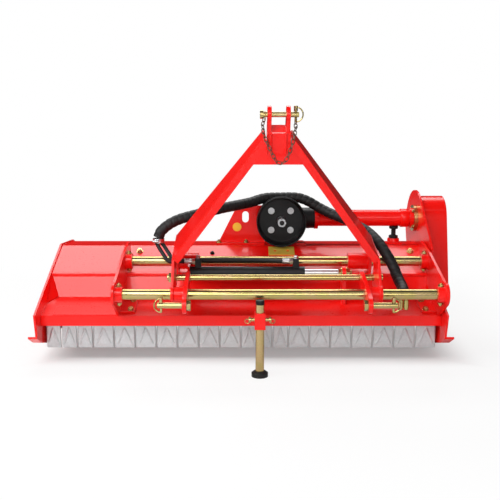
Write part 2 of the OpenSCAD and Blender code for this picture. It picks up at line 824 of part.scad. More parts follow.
// Parking jack
sleeve_half = jack_r + 4;
jack_sleeve_z = [beam_low_z + 24, beam_top_z + 44];
plunger_z = beam_low_z + 58;
plunger_r = 6;
module jack_bracket() {
    arm_w = 22;
    painted(red) difference() {
        union() {
            translate([jack_x - sleeve_half, jack_y - sleeve_half, jack_sleeve_z[0]])
                cube([2 * sleeve_half, 2 * sleeve_half, jack_sleeve_z[1] - jack_sleeve_z[0]]);
            translate([jack_x - arm_w / 2, jack_y + sleeve_half - 1, beam_low_z])
                cube([arm_w, beam_y - jack_y - sleeve_half + 1, beam_top_z - beam_low_z]);
        }
        translate([jack_x, jack_y, 0]) cylinder(h = jack_top_z + 1, r = jack_r + slide_gap);
        rod_x(jack_x - 2 * sleeve_half, jack_x + 2 * sleeve_half, plunger_r, [jack_y, plunger_z]);
    }
}

module jack_plungers() {
    reach = sleeve_half + 14;
    painted(gold) for (way = [-1, 1])
        translate([jack_x, jack_y, plunger_z]) rotate([0, 90 * way, 0]) {
            translate([0, 0, jack_r + loose_gap]) cylinder(h = reach - jack_r - loose_gap, r = plunger_r);
            translate([0, 0, reach]) cylinder(h = 8, r = 1.8 * plunger_r);
        }
}

jack_foot_l = 22;
module jack_leg() {
    painted(gold) difference() {
        translate([jack_x, jack_y, jack_foot_l]) cylinder(h = jack_top_z - jack_foot_l, r = jack_r);
        translate([jack_x, jack_y, jack_foot_l + 10]) cylinder(h = jack_top_z, r = jack_r - 4);
    }
}

module jack_foot() {
    painted(black) translate([jack_x, jack_y, 0]) {
        cylinder(h = jack_foot_l - 8, r = jack_foot_r);
        translate([0, 0, jack_foot_l - 8]) cylinder(h = 8, r1 = jack_foot_r, r2 = jack_r + 4);
    }
}

// Side-shift cylinder
module cylinder_rod() {
    painted(grey) {
        rod_x(piston_x, rod_lug_x, rod_r, barrel_at);
        rod_x(piston_x, piston_x + piston_l, barrel_bore_r - run_gap, barrel_at);
    }
}

module rod_lug() {
    front = barrel_at.x - rod_lug_r + 4;
    back = barrel_at.x + rod_lug_r;
    painted(red) difference() {
        along_x(rod_lug_x - rod_lug_t, rod_lug_x) {
            translate(barrel_at) circle(rod_lug_r);
            polygon([[front, deck_z(front)], [back, deck_z(back)], barrel_at + [rod_lug_r + side_step, 0],
                     barrel_at + [4 - rod_lug_r, 0]]);
        }
        rod_x(rod_lug_x - rod_lug_t - 1, rod_lug_x + 1, rod_r, barrel_at);
    }
}

module port_block(x) {
    translate([x, barrel_at.x - port_w / 2, port_z]) cube([port_w, port_w, port_top_z - port_z]);
}

module cylinder_barrel() {
    painted(black) difference() {
        union() {
            rod_x(barrel_x0, barrel_x1, barrel_r, barrel_at);
            port_block(short_hose[0].x);
            port_block(long_hose[0].x);
        }
        rod_x(barrel_x0 + barrel_base_l, barrel_x1 - barrel_head_l, barrel_bore_r, barrel_at);
        rod_x(barrel_x0 + barrel_base_l, barrel_x1 + 1, rod_r + run_gap, barrel_at);
    }
}

// Hoses: the sleeve is a spiral wrap, so its radius steps up and down along the run
wrap_deep = 1.6;
sleeve_steps = 6;
sleeve_sides = 8;
hose_steps = 3;
hose_sides = 10;
module hose_sleeve() {
    p = smooth(sleeve_route, sleeve_steps);
    radii = [for (i = [0 : len(p) - 1]) i % 2 == 0 ? sleeve_r : sleeve_r - wrap_deep];
    painted(black) swept(p, radii, sleeve_sides);
}

module bare_hose(route) {
    p = smooth(route, hose_steps);
    swept(p, [for (i = p) hose_r], hose_sides);
}

module hose_tails() {
    painted(black) {
        bare_hose(short_hose);
        bare_hose(long_hose);
    }
    painted(grey) translate(clamp_at) cylinder(h = clamp_l, r = sleeve_r + 1);
}

module hose_couplers() {
    tip = sleeve_route[len(sleeve_route) - 1];
    painted(gold) for (way = [-1, 1])
        translate([tip.x + way * (coupler_r + 0.5), tip.y, tip.z - coupler_l]) {
            cylinder(h = coupler_l, r = coupler_r - 2);
            translate([0, 0, 6]) cylinder(h = coupler_l - 24, r = coupler_r);
        }
}

// Posts beside the gearbox that guide the hose sleeve
post_w = 12;
post_h = [39, 20];
post_in = 45;
flange_proud = 3;
module hose_posts() {
    painted(red) {
        translate([support_x1 - post_in, support_y, support_top_z]) cube([post_w, support_t, post_h[0]]);
        translate([boss_x1 + 2, drive_y - post_w / 2, drive_z + boss_r + flange_proud])
            cube([post_w, post_w, post_h[1]]);
    }
}

// Shafts and gears
neck_w = 5;
module pto_shaft() {
    groove_w = 4;
    groove_l = 38;
    painted(steel) difference() {
        rod_y(pto_y0, drive_y - bevel_small_r / bevel_ratio - 2, shaft_r, gear_x, drive_z);
        for (i = [0 : 5])
            translate([gear_x, pto_y0 - 1, drive_z]) rotate([0, 60 * i, 0])
                translate([-groove_w / 2, 0, shaft_r - 2.5]) cube([groove_w, groove_l, 5]);
        rod_y(pto_y0 - 1, pto_y0 + 6, 7, gear_x, drive_z);
        difference() {
            rod_y(guard_floor_y - neck_w, guard_floor_y, shaft_r + 1, gear_x, drive_z);
            rod_y(guard_floor_y - neck_w - 1, guard_floor_y + 1, shaft_r - 1, gear_x, drive_z);
        }
    }
}

// Bevel gears are plain cones that nearly touch along their common line
module input_bevel_gear() {
    front = bevel_big_r / bevel_ratio;
    back = bevel_small_r / bevel_ratio;
    painted(steel) translate([gear_x, drive_y - bevel_gap, drive_z]) rotate([90, 0, 0]) difference() {
        union() {
            translate([0, 0, back]) cylinder(h = front - back, r1 = bevel_small_r, r2 = bevel_big_r);
            translate([0, 0, front]) cylinder(h = 8, r = bevel_big_r);
            translate([0, 0, front]) cylinder(h = bevel_back - front, r = bevel_small_r);
        }
        translate([0, 0, back - 1]) cylinder(h = bevel_back, r = shaft_r);
    }
}

module cross_shaft() {
    painted(steel) {
        translate([gear_x + bevel_small_r, drive_y, drive_z]) rotate([0, 90, 0])
            cylinder(h = bevel_big_r - bevel_small_r, r1 = bevel_small_r / bevel_ratio, r2 = shaft_r);
        rod_x(gear_x + bevel_big_r, pulley_x0 + pulley_w + 6, shaft_r, drive_at);
    }
}

module upper_pulley() {
    pulley(upper_pulley_r, shaft_r, drive_at);
}

module lower_pulley() {
    pulley(lower_pulley_r, stub_r, rotor_at);
}

// Rotor: rows of hinged flails, each row set a quarter turn and half a pitch from the next
function row_angle(k) = 45 + 90 * k;
function row_x(k, i) = (i - (row_flails - 1) / 2) * flail_pitch + (k % 2 == 0 ? -0.25 : 0.25) * flail_pitch;

// Puts its children on row k with Z pointing out from the rotor axis
module on_row(k) {
    translate([0, rotor_y, rotor_z]) rotate([row_angle(k), 0, 0]) children();
}

// Lug plate beside a flail, sunk into the rotor tube's wall
lug_off = flail_w / 2 + loose_gap + lug_plate_t / 2;
module rotor_lug() {
    foot = rotor_r - rotor_wall / 2;
    along_x(-lug_plate_t / 2, lug_plate_t / 2) {
        translate([0, flail_pin_at]) circle(lug_plate_r);
        translate([-lug_plate_r, foot]) square([2 * lug_plate_r, flail_pin_at - foot]);
    }
}

module rotor_tube() {
    painted(red) difference() {
        union() {
            rod_x(-rotor_end, rotor_end, rotor_r, rotor_at);
            rod_x(-outer_x - bearing_l + 2, pulley_x0 + pulley_w + 6, stub_r, rotor_at);
            for (k = [0 : rows - 1], i = [0 : row_flails - 1], way = [-1, 1])
                on_row(k) translate([row_x(k, i) + way * lug_off, 0, 0]) rotor_lug();
        }
        for (k = [0 : rows - 1])
            on_row(k) rod_x(-rotor_end, rotor_end, flail_pin_r, [0, flail_pin_at]);
        rod_x(end_plug - rotor_end, rotor_end - end_plug, rotor_r - rotor_wall, rotor_at);
        rod_x(-outer_x - bearing_l, pulley_x0 + pulley_w + 7, centre_r, rotor_at);
    }
}

module flail_pins() {
    half = flail_w / 2 + loose_gap + lug_plate_t;
    painted(steel) for (k = [0 : rows - 1], i = [0 : row_flails - 1])
        on_row(k) {
            rod_x(row_x(k, i) - half, row_x(k, i) + half, flail_pin_r, [0, flail_pin_at]);
            rod_x(row_x(k, i) + half, row_x(k, i) + half + 6, 1.5 * flail_pin_r, [0, flail_pin_at]);
        }
}

module flails_row(k) {
    arm = 8;
    head = 14;
    head_l = 30;
    painted(steel) on_row(k) for (i = [0 : row_flails - 1])
        difference() {
            along_x(row_x(k, i) - flail_w / 2, row_x(k, i) + flail_w / 2) {
                translate([0, flail_pin_at]) circle(flail_eye_r);
                translate([-arm, flail_pin_at]) square([2 * arm, swing_r - flail_pin_at - head_l + 1]);
                translate([-head, swing_r - head_l]) square([2 * head, head_l - 2]);
            }
            rod_x(row_x(k, i) - flail_w, row_x(k, i) + flail_w, flail_pin_r + run_gap, [0, flail_pin_at]);
        }
}

module flails_row_1() {
    flails_row(0);
}

module flails_row_2() {
    flails_row(1);
}

module flails_row_3() {
    flails_row(2);
}

module flails_row_4() {
    flails_row(3);
}

module rear_roller() {
    roller_end = half_w - 10;
    painted(black) difference() {
        union() {
            rod_x(-roller_end, roller_end, roller_r, roller_at);
            rod_x(-outer_x - arm_t, outer_x + arm_t, axle_r, roller_at);
        }
        rod_x(end_plug - roller_end, roller_end - end_plug, roller_r - roller_wall, roller_at);
        rod_x(-outer_x - arm_t - 1, outer_x + arm_t + 1, centre_r, roller_at);
    }
}

// Hitch side plate: upright plate with the tube holes and an arch, bent inward into a flanged leg
module hitch_plate() {
    painted(red) in_hitch() difference() {
        union() {
            capsule_x(hitch_x0, hitch_x0 + hitch_t, [0, 0], lower_lobe_r, [tube_pitch, 0], upper_lobe_r);
            along_x(hitch_x0, hitch_x0 + hitch_t)
                polygon([[lobe_in - lower_lobe_r, 0], [tube_pitch + upper_lobe_r - lobe_in, 0],
                         [leg_back, bend_z], [leg_front + lobe_in, bend_z]]);
            translate([hitch_x0 + weld_in, 0, bend_z - weld_in]) rotate([0, leg_lean, 0]) {
                along_x(0, hitch_t)
                    polygon([[leg_front + weld_in, 0], [leg_back - weld_in, 0], [leg_top_back, leg_l],
                             [leg_front + weld_in, leg_l]]);
                translate([0, leg_front, 0]) cube([flange_w, flange_t, leg_l]);
            }
        }
        for (y = [0, tube_pitch])
            rod_x(hitch_x0 - 1, hitch_x0 + hitch_t + 1, tube_r + 1, [y, 0]);
        rod_x(hitch_x0 - 1, hitch_x0 + hitch_t + 1, tie_r, tie_at);
        along_x(hitch_x0 - 1, hitch_x0 + hitch_t + 1) {
            translate(arch_at) circle(arch_r);
            translate([arch_at.x - arch_r, -2 * upper_lobe_r])
                square([2 * arch_r, 2 * upper_lobe_r + arch_at.y]);
        }
    }
}

module left_hitch_plate() {
    hitch_plate();
}

module right_hitch_plate() {
    in_mirror_frame() hitch_plate();
}

// Mirror about the middle of the hitch, for pieces already moved to the part's origin
module in_mirror_frame() {
    translate([2 * (hitch_x - origin.x), 0, 0]) mirror([1, 0, 0]) children();
}

// Inner edge of the left leg's flange at height z in the hitch frame
function flange_edge(z) = hitch_x0 + flange_w / cos(leg_lean) + (z - bend_z) * tan(leg_lean);

ear_front = leg_front + flange_t - weld_in;
module ear() {
    along_x(hitch_x - ear_gap / 2 - ear_t, hitch_x - ear_gap / 2) {
        translate(top_pin_at) circle(ear_r);
        polygon([[ear_front, ear_low_z], [leg_top_back, ear_low_z], [leg_top_back - 20, mast_z + 10],
                 top_pin_at + [ear_r - lobe_in, 0], top_pin_at - [ear_r - lobe_in, 0],
                 [ear_front, gusset_top_z - lobe_in]]);
    }
}

module mast_head() {
    shelf = [[ear_front, gusset_top_z - weld_in], [leg_front + 55, gusset_top_z + 15]];
    side_z = mast_z - 24;
    low = hitch_x - flange_edge(gusset_low_z);
    side = hitch_x - flange_edge(side_z);
    top = ear_gap / 2 + ear_t + lobe_in;
    painted(red) in_hitch() difference() {
        union() {
            translate([hitch_x, leg_front + flange_t, 0]) rotate([90, 0, 0]) linear_extrude(flange_t)
                polygon([[-low, gusset_low_z], [low, gusset_low_z], [side, side_z], [top, gusset_top_z],
                         [-top, gusset_top_z], [-side, side_z]]);
            ear();
            hitch_mirror() ear();
            along_x(hitch_x - ear_gap / 2 - 1, hitch_x + ear_gap / 2 + 1) polygon(sheet(shelf, flange_t));
        }
        rod_x(hitch_x - ear_gap, hitch_x + ear_gap, top_pin_r + slide_gap, top_pin_at);
    }
}

// Bushes that slide on the tubes, and the plate that holds the barrel
module left_bushes() {
    inner = hitch_x0 + hitch_t;
    in_hitch() {
        difference() {
            rod_x(inner, inner + lug_gap, tube_r + 8, [0, 0]);
            rod_x(inner - 1, inner + lug_gap + 1, tube_r + slide_gap, [0, 0]);
        }
        difference() {
            rod_x(inner, inner + bush_l, bush_r, [tube_pitch, 0]);
            rod_x(inner - 1, inner + bush_l + 1, tube_r + slide_gap, [tube_pitch, 0]);
        }
    }
}

barrel_plate_t = 10;
barrel_plate_r = 18;
// Barrel axis in the hitch frame
barrel_off = barrel_at - lower_tube;
barrel_in_hitch = [barrel_off.x * cos(hitch_tilt) + barrel_off.y * sin(hitch_tilt),
                   barrel_off.y * cos(hitch_tilt) - barrel_off.x * sin(hitch_tilt)];
module slide_bushes() {
    painted(red) {
        left_bushes();
        hitch_mirror() left_bushes();
        in_hitch() difference() {
            capsule_x(barrel_x0 - barrel_plate_t, barrel_x0, barrel_in_hitch, barrel_plate_r,
                      [tube_pitch - bush_r, 0], barrel_plate_r - 4);
            rod_x(barrel_x0 - barrel_plate_t - 1, barrel_x0 + 1, tube_r + 5, [tube_pitch, 0]);
        }
    }
}

module lower_lug() {
    difference() {
        in_hitch() {
            capsule_x(lug_x0, lug_x0 + lug_t, [-pin_reach, 0], pin_lug_r, [0, 0], lug_arm_r);
            capsule_x(lug_x0, lug_x0 + lug_t, [0, 0], lug_arm_r - 1, tie_at, lug_tail_r);
        }
        in_hitch() rod_x(lug_x0 - 1, lug_x0 + lug_t + 1, tube_r + slide_gap, [0, 0]);
        in_hitch() rod_x(lug_x0 - 1, lug_x0 + lug_t + 1, tie_r, tie_at);
        in_hitch() rod_x(lug_x0 - 1, lug_x0 + lug_t + 1, hitch_pin_r + pin_step, [-pin_reach, 0]);
    }
}

module lower_lugs() {
    painted(red) {
        lower_lug();
        hitch_mirror() lower_lug();
    }
}

tie_nut_l = 18;
module tie_rod() {
    end = 6;
    painted(gold) in_hitch() {
        rod_x(hitch_x0 - tie_nut_l - end, 2 * hitch_x - hitch_x0 + tie_nut_l + end, tie_r, tie_at);
        for (x = [hitch_x0 - tie_nut_l, 2 * hitch_x - hitch_x0])
            hex_x(x, x + tie_nut_l, 1.7 * tie_r, tie_at);
    }
}

// Lower hitch pins: a seat for the link, a hex head inside, a cross hole for the linch pin in the thinner tip
module lower_hitch_pin() {
    difference() {
        union() {
            rod_x(lug_x0 - hitch_pin_l, lug_x0 + 1, hitch_pin_r - pin_relief, pin_at);
            rod_x(lug_x0 - hitch_pin_l + pin_tip, lug_x0 - pin_neck, hitch_pin_r, pin_at);
            rod_x(lug_x0, lug_x0 + lug_t + 1, hitch_pin_r + pin_step, pin_at);
            hex_x(lug_x0 + lug_t, lug_x0 + lug_t + pin_head_l, hex_r, pin_at);
        }
        translate([lug_x0 - hitch_pin_l + linch_in, pin_at.x, pin_at.y - 2 * hitch_pin_r])
            cylinder(h = 4 * hitch_pin_r, r = linch_r + slide_gap);
    }
}

module lower_hitch_pins() {
    painted(gold) {
        lower_hitch_pin();
        hitch_mirror() lower_hitch_pin();
    }
}

// Linch pin upright at x, y, z, with half of its wire ring bent towards way
module linch_pin(at, way) {
    translate(at) {
        translate([0, 0, -linch_up + 6]) cylinder(h = 2 * linch_up - 6, r = linch_r);
        translate([0, 0, hitch_pin_r + 1]) cylinder(h = linch_up - hitch_pin_r - 1, r = linch_r + 2.5);
        rotate([90, 0, way > 0 ? 0 : 180]) rotate_extrude(angle = 86)
            translate([ring_bend - ring_r, 0]) circle(ring_r, $fn = 24);
    }
}

linch_x = lug_x0 - hitch_pin_l + linch_in;
module left_linch_pin() {
    painted(gold) linch_pin([linch_x, pin_at.x, pin_at.y], -1);
}

module right_linch_pin() {
    painted(gold) linch_pin([2 * hitch_x - linch_x, pin_at.x, pin_at.y], 1);
}

top_pin_x = [66, 202];
top_head_l = 12;
top_head_r = 15;
top_linch_x = 191;
// Top link pin axis, as [Y, Z]
top_at = lower_tube + [top_pin_at.x * cos(hitch_tilt) - top_pin_at.y * sin(hitch_tilt),
                       top_pin_at.x * sin(hitch_tilt) + top_pin_at.y * cos(hitch_tilt)];
module top_link_pin() {
    painted(gold) difference() {
        union() {
            rod_x(top_pin_x[0], top_pin_x[1], top_pin_r, top_at);
            rod_x(top_pin_x[0], top_pin_x[0] + top_head_l, top_head_r, top_at);
        }
        translate([top_linch_x, top_at.x, top_at.y - 2 * top_pin_r])
            cylinder(h = 4 * top_pin_r, r = linch_r + slide_gap);
    }
}

module top_linch_pin() {
    painted(gold) linch_pin([top_linch_x, top_at.x, top_at.y], 1);
}

module pin_chain() {
    p = smooth(chain_route, 2);
    painted(rust) swept(p, [for (i = p) chain_r], 8);
}

// Flaps: two runs, each with three narrow flaps and then wide ones
run_flaps = 10;
run_narrow = 3;
flap_end = 5;
flap_gap = 1.2;
wide_flap_w = (half_w - flap_end - run_narrow * narrow_flap_w) / (run_flaps - run_narrow);
eye_r = flap_rod_r + loose_gap + 3;
function flap_x(i) = min(i, run_narrow) * narrow_flap_w + max(i - run_narrow, 0) * wide_flap_w;

module flap(x0, x1) {
    difference() {
        union() {
            along_x(x0, x1) translate([-flap_t / 2, flap_low_z]) square([flap_t, flap_rod_z - flap_low_z]);
            rod_x(x0, x1, eye_r, flap_rod);
        }
        rod_x(x0 - 1, x1 + 1, flap_rod_r + loose_gap, flap_rod);
    }
}

module flap_run(start) {
    painted(grey) for (i = [0 : run_flaps - 1])
        flap(start + flap_x(i) + flap_gap / 2, start + flap_x(i + 1) - flap_gap / 2);
}

module flaps_left() {
    flap_run(-half_w + flap_end);
}

module flaps_right() {
    flap_run(0);
}

deck_shell();
left_side_plate();
right_side_plate();
skids();
flap_rod_bar();
left_tube_bracket();
right_tube_bracket();
lower_slide_tube();
upper_slide_tube();
bracket_bolts();
gearbox_housing();
gearbox_support();
gearbox_saddle();
plated_bracket();
pto_guard();
guard_bolts();
drive_tube();
drive_flange();
belt_guard();
drive_belts();
tube_prop();
bearing_housings();
roller_arms();
jack_bracket();
jack_plungers();
cylinder_rod();
rod_lug();
hose_sleeve();
hose_couplers();
hose_posts();
pto_shaft();
input_bevel_gear();
cross_shaft();
upper_pulley();
rotor_tube();
flail_pins();
lower_pulley();
flails_row_1();
flails_row_2();
flails_row_3();
flails_row_4();
rear_roller();
jack_leg();
jack_foot();
left_hitch_plate();
right_hitch_plate();
mast_head();
slide_bushes();
lower_lugs();
tie_rod();
lower_hitch_pins();
top_link_pin();
top_linch_pin();
pin_chain();
cylinder_barrel();
hose_tails();
left_linch_pin();
right_linch_pin();
flaps_left();
flaps_right();
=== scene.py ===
# %% [markdown]
# # A flail mower, dressed in Blender
# The mower's frame comes from a CAD model: every plate, shaft and joint is already in place. Here
# each surface gets its finish, and the things that CAD leaves plain are made: hoses, chain links,
# bolts, weld beads and pressed flaps. Everything is in metres, in the CAD model's own frame.

import json
import math

import bmesh
import bpy
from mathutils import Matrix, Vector


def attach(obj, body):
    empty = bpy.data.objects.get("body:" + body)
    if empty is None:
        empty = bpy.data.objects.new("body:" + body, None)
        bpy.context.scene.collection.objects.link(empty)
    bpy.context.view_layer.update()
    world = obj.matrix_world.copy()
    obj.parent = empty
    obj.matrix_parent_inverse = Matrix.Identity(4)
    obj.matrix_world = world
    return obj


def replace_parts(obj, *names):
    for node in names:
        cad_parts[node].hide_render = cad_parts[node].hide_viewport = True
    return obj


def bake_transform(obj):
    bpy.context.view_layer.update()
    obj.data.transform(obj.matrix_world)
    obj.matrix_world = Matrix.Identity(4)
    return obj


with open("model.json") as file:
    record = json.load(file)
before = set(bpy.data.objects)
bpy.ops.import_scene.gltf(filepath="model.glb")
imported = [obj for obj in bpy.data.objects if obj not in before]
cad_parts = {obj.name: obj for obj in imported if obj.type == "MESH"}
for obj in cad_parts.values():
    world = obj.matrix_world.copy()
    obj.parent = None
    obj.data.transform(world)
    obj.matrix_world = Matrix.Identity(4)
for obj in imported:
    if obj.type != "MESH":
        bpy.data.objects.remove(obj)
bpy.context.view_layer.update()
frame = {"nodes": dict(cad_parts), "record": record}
nodes = frame["nodes"]

# %% [markdown]
# The machine was drawn in millimetres, with X = 0 in the middle of the deck and Y = 0 at the flaps.
# The CAD part sits with its middle over the origin, so one helper turns drawing sizes into places.
# The hitch leans back a little, so its pieces have a helper of their own.

# %% Places
MIDDLE_X, MIDDLE_Y = 38.5, 240.015
LOWER_TUBE = (-120.0, 303.0)
UPPER_TUBE = (150.0, 378.0)
GEAR_X, DRIVE_Y, DRIVE_Z = 173, 445, 517
JACK_X, JACK_Y = 70, -165
UPWARDS = (0, 0, 1)
HITCH_TILT = math.atan2(UPPER_TUBE[1] - LOWER_TUBE[1], UPPER_TUBE[0] - LOWER_TUBE[0])


def at(x, y, z):
    return Vector(((x - MIDDLE_X) / 1000, (y - MIDDLE_Y) / 1000, z / 1000))


def on_hitch(x, y, z):
    c, s = math.cos(HITCH_TILT), math.sin(HITCH_TILT)
    return at(x, LOWER_TUBE[0] + y * c - z * s, LOWER_TUBE[1] + y * s + z * c)


# %% [markdown]
# The camera stands in front of the machine, about as high as its mast, and looks down a little. The
# lens is a little longer than normal, and a small sideways shift puts the machine where the picture
# has it.

# %% Camera
SENSOR_MM, LENS_MM, LENS_SHIFT = 36, 52.98, 0.02
CAMERA_PLACE, CAMERA_TILT = (-3.9, -2800, 944.3), 80
camera_data = bpy.data.cameras.new("camera")
camera_data.sensor_width = SENSOR_MM
camera_data.lens = LENS_MM
camera_data.shift_x = LENS_SHIFT
camera = bpy.data.objects.new("camera", camera_data)
camera.location = at(*CAMERA_PLACE)
camera.rotation_euler = (math.radians(CAMERA_TILT), 0, 0)
bpy.context.scene.collection.objects.link(camera)
bpy.context.scene.camera = camera

# %% [markdown]
# Shader and geometry trees are easier to read as sums than as boxes and wires. `Wire` wraps one
# socket, so that `1 - mask * 0.2` adds the Math nodes by itself, and `Tree.node` makes any other
# node: its settings are set first, then its sockets are given values or wires.


# %% Trees as expressions
class Wire:
    def __init__(self, tree, socket):
        self.tree, self.socket = tree, socket

    def math(self, operation, *others):
        sockets = dict(enumerate([self, *others]))
        return self.tree.node("ShaderNodeMath", {"operation": operation}, sockets)

    def __add__(self, other):
        return self.math("ADD", other)

    def __sub__(self, other):
        return self.math("SUBTRACT", other)

    def __mul__(self, other):
        return self.math("MULTIPLY", other)

    def __rsub__(self, other):
        return self.tree.node("ShaderNodeMath", {"operation": "SUBTRACT"}, {0: other, 1: self})

    __radd__ = __add__
    __rmul__ = __mul__


class Tree:
    def __init__(self, tree):
        self.tree = tree

    def node(self, kind, settings=None, sockets=None, out=0):
        made = self.tree.nodes.new(kind)
        for name, value in (settings or {}).items():
            setattr(made, name, value)
        for key, value in (sockets or {}).items():
            if isinstance(value, Wire):
                self.tree.links.new(value.socket, made.inputs[key])
            else:
                made.inputs[key].default_value = value
        return Wire(self, made.outputs[out])


# %% [markdown]
# A finish is a Principled shader with colour, roughness and relief that change over the surface.
# All patterns read Object coordinates, which are metres here, so a scale of 500 is a 2 mm grain.
# CAD edges are razor sharp, and real plates are not: a Bevel node rounds the shading of each edge,
# and that thin band is what catches the studio light along every plate.


# %% Finishes
class Finish(Tree):
    def __init__(self, name, **constant):
        self.material = bpy.data.materials.new(name)
        self.material.use_nodes = True
        super().__init__(self.material.node_tree)
        self.shader = self.tree.nodes["Principled BSDF"]
        self.place = self.node("ShaderNodeTexCoord", out="Object")
        for socket, value in constant.items():
            self.shader.inputs[socket.replace("_", " ")].default_value = value

    def feed(self, **wires):
        for socket, wire in wires.items():
            self.tree.links.new(wire.socket, self.shader.inputs[socket.replace("_", " ")])
        return self

    def noise(self, scale, detail=2.0, stretch=(1, 1, 1)):
        place = self.node("ShaderNodeMapping", {}, {"Vector": self.place, "Scale": stretch})
        sockets = {"Vector": place, "Scale": scale, "Detail": detail}
        return self.node("ShaderNodeTexNoise", {}, sockets)

    def cells(self, scale):
        sockets = {"Vector": self.place, "Scale": scale}
        return self.node("ShaderNodeTexVoronoi", {}, sockets, "Color")

    def between(self, share, low, high):
        """A colour that goes from low to high with share."""
        return self.node(
            "ShaderNodeMix",
            {"data_type": "RGBA"},
            {0: share, 6: (*low, 1), 7: (*high, 1)},
            2,
        )

    def steps(self, value, low, high):
        """0 below low, 1 above high, smooth between them."""
        return self.node(
            "ShaderNodeMapRange",
            {"interpolation_type": "SMOOTHSTEP"},
            {"Value": value, "From Min": low, "From Max": high},
        )

    def relief(self, height, depth, edge=0.0):
        """Bump of the given depth in metres, over edges rounded by edge metres."""
        sockets = {"Height": height, "Distance": depth, "Strength": 1.0}
        if edge:
            sockets["Normal"] = self.node("ShaderNodeBevel", {"samples": 6}, {"Radius": edge})
        return self.node("ShaderNodeBump", {}, sockets)


def red_paint():
    f = Finish("red_paint", Coat_Weight=0.22, Coat_Roughness=0.06, Specular_IOR_Level=0.2)
    cloud = f.noise(5)
    speck = f.noise(140, 3)
    colour = f.between(cloud, (0.82, 0.006, 0.004), (0.9, 0.008, 0.005))
    return f.feed(
        Base_Color=colour,
        Roughness=0.24 + 0.1 * speck,
        Normal=f.relief(f.noise(420, 1), 0.00004, edge=0.0032),
    ).material


def gold_plating():
    f = Finish("gold_plating", Metallic=0.92)
    bloom = f.steps(f.noise(22, 3), 0.35, 0.7)
    drawn = f.noise(160, 2, stretch=(0.03, 1, 1))
    return f.feed(
        Base_Color=f.between(bloom, (0.47, 0.39, 0.14), (0.52, 0.39, 0.19)),
        Roughness=0.16 + 0.06 * drawn + 0.05 * bloom,
        Normal=f.relief(drawn, 0.000008, edge=0.0012),
    ).material


# Painted light: a brighter, less metallic copy of the gold plating, which makes the plated bracket
# under the guard look lit where the guard shades it.
def bright_plating():
    f = Finish("bright_plating", Metallic=0.35)
    bloom = f.noise(40, 3)
    return f.feed(
        Base_Color=f.between(bloom, (0.84, 0.62, 0.07), (0.9, 0.72, 0.14)),
        Roughness=0.26 + 0.1 * bloom,
        Normal=f.relief(bloom, 0.00002, edge=0.0012),
    ).material


def black_iron():
    f = Finish("black_iron", Specular_IOR_Level=0.25)
    grain = f.noise(260, 4)
    return f.feed(
        Base_Color=f.between(f.noise(30), (0.005, 0.005, 0.0055), (0.014, 0.014, 0.015)),
        Roughness=0.32 + 0.22 * grain,
        Normal=f.relief(grain, 0.00025, edge=0.003),
    ).material


def black_plastic():
    f = Finish("black_plastic", Specular_IOR_Level=0.3)
    grain = f.noise(700, 2)
    return f.feed(
        Base_Color=f.between(f.noise(12), (0.004, 0.004, 0.0045), (0.009, 0.009, 0.0095)),
        Roughness=0.26 + 0.14 * f.noise(18, 3),
        Normal=f.relief(grain, 0.00006, edge=0.003),
    ).material


def black_rubber():
    f = Finish("black_rubber", Specular_IOR_Level=0.3)
    return f.feed(
        Base_Color=f.between(f.noise(40, 3), (0.006, 0.006, 0.006), (0.014, 0.014, 0.0145)),
        Roughness=0.42 + 0.2 * f.noise(90, 3),
        Normal=f.relief(f.noise(900, 2), 0.00008, edge=0.0015),
    ).material


def plain_steel():
    f = Finish("plain_steel", Metallic=1.0)
    turned = f.noise(300, 2, stretch=(1, 0.15, 1))
    return f.feed(
        Base_Color=f.between(f.noise(25, 3), (0.5, 0.51, 0.52), (0.66, 0.67, 0.68)),
        Roughness=0.22 + 0.16 * turned,
        Normal=f.relief(turned, 0.00003, edge=0.001),
    ).material


def galvanised():
    f = Finish("galvanised", Metallic=0.5)
    spangle = f.cells(130)
    tone = f.node("ShaderNodeRGBToBW", {}, {"Color": spangle})
    return f.feed(
        Base_Color=f.between(tone, (0.54, 0.56, 0.57), (0.62, 0.64, 0.65)),
        Roughness=0.33 + 0.08 * tone,
        Normal=f.relief(f.noise(40, 2), 0.00005, edge=0.0012),
    ).material


def rusty_steel():
    f = Finish("rusty_steel", Metallic=0.6)
    rust = f.steps(f.noise(120, 4), 0.4, 0.62)
    return f.feed(
        Base_Color=f.between(rust, (0.09, 0.075, 0.065), (0.17, 0.075, 0.035)),
        Roughness=0.4 + 0.35 * rust,
        Normal=f.relief(f.noise(700, 3), 0.0002),
    ).material


def yellow_film():
    f = Finish("yellow_film", Coat_Weight=0.3, Coat_Roughness=0.1)
    return f.feed(
        Base_Color=f.between(f.noise(60, 3), (0.92, 0.56, 0.02), (0.96, 0.62, 0.03)),
        Roughness=0.35 + 0.15 * f.noise(200, 2),
        Normal=f.relief(f.noise(500, 2), 0.00005),
    ).material


finishes = {
    make.__name__: make()
    for make in (
        red_paint,
        black_iron,
        black_plastic,
        black_rubber,
        plain_steel,
        galvanised,
        rusty_steel,
        yellow_film,
        gold_plating,
        bright_plating,
    )
}
# The plated bracket under the guard takes the painted light copy of the plating in place of its own
# gold plating.
PAINTED_LIGHT_NODE = "plated_bracket"
for subpart in frame["record"]["subparts"]:
    mesh = nodes[subpart["node"]].data
    mesh.materials.clear()
    bright = subpart["node"] == PAINTED_LIGHT_NODE
    mesh.materials.append(finishes["bright_plating" if bright else subpart["material_slot"]])
print("finishes", sorted(finishes))

# %% [markdown]
# ## Hoses
# Two rubber hoses leave the side-shift cylinder, meet in a clamp, and run on inside a spiral wrap
# over the gearbox to the couplers. Their routes repeat the points of the CAD model. A hose could be
# a curve with a round bevel, but the wrap's ridges wind round it, so each hose is a mesh tube:
# rings carried along the route without twist, with a radius that may change with the place and with
# the angle.


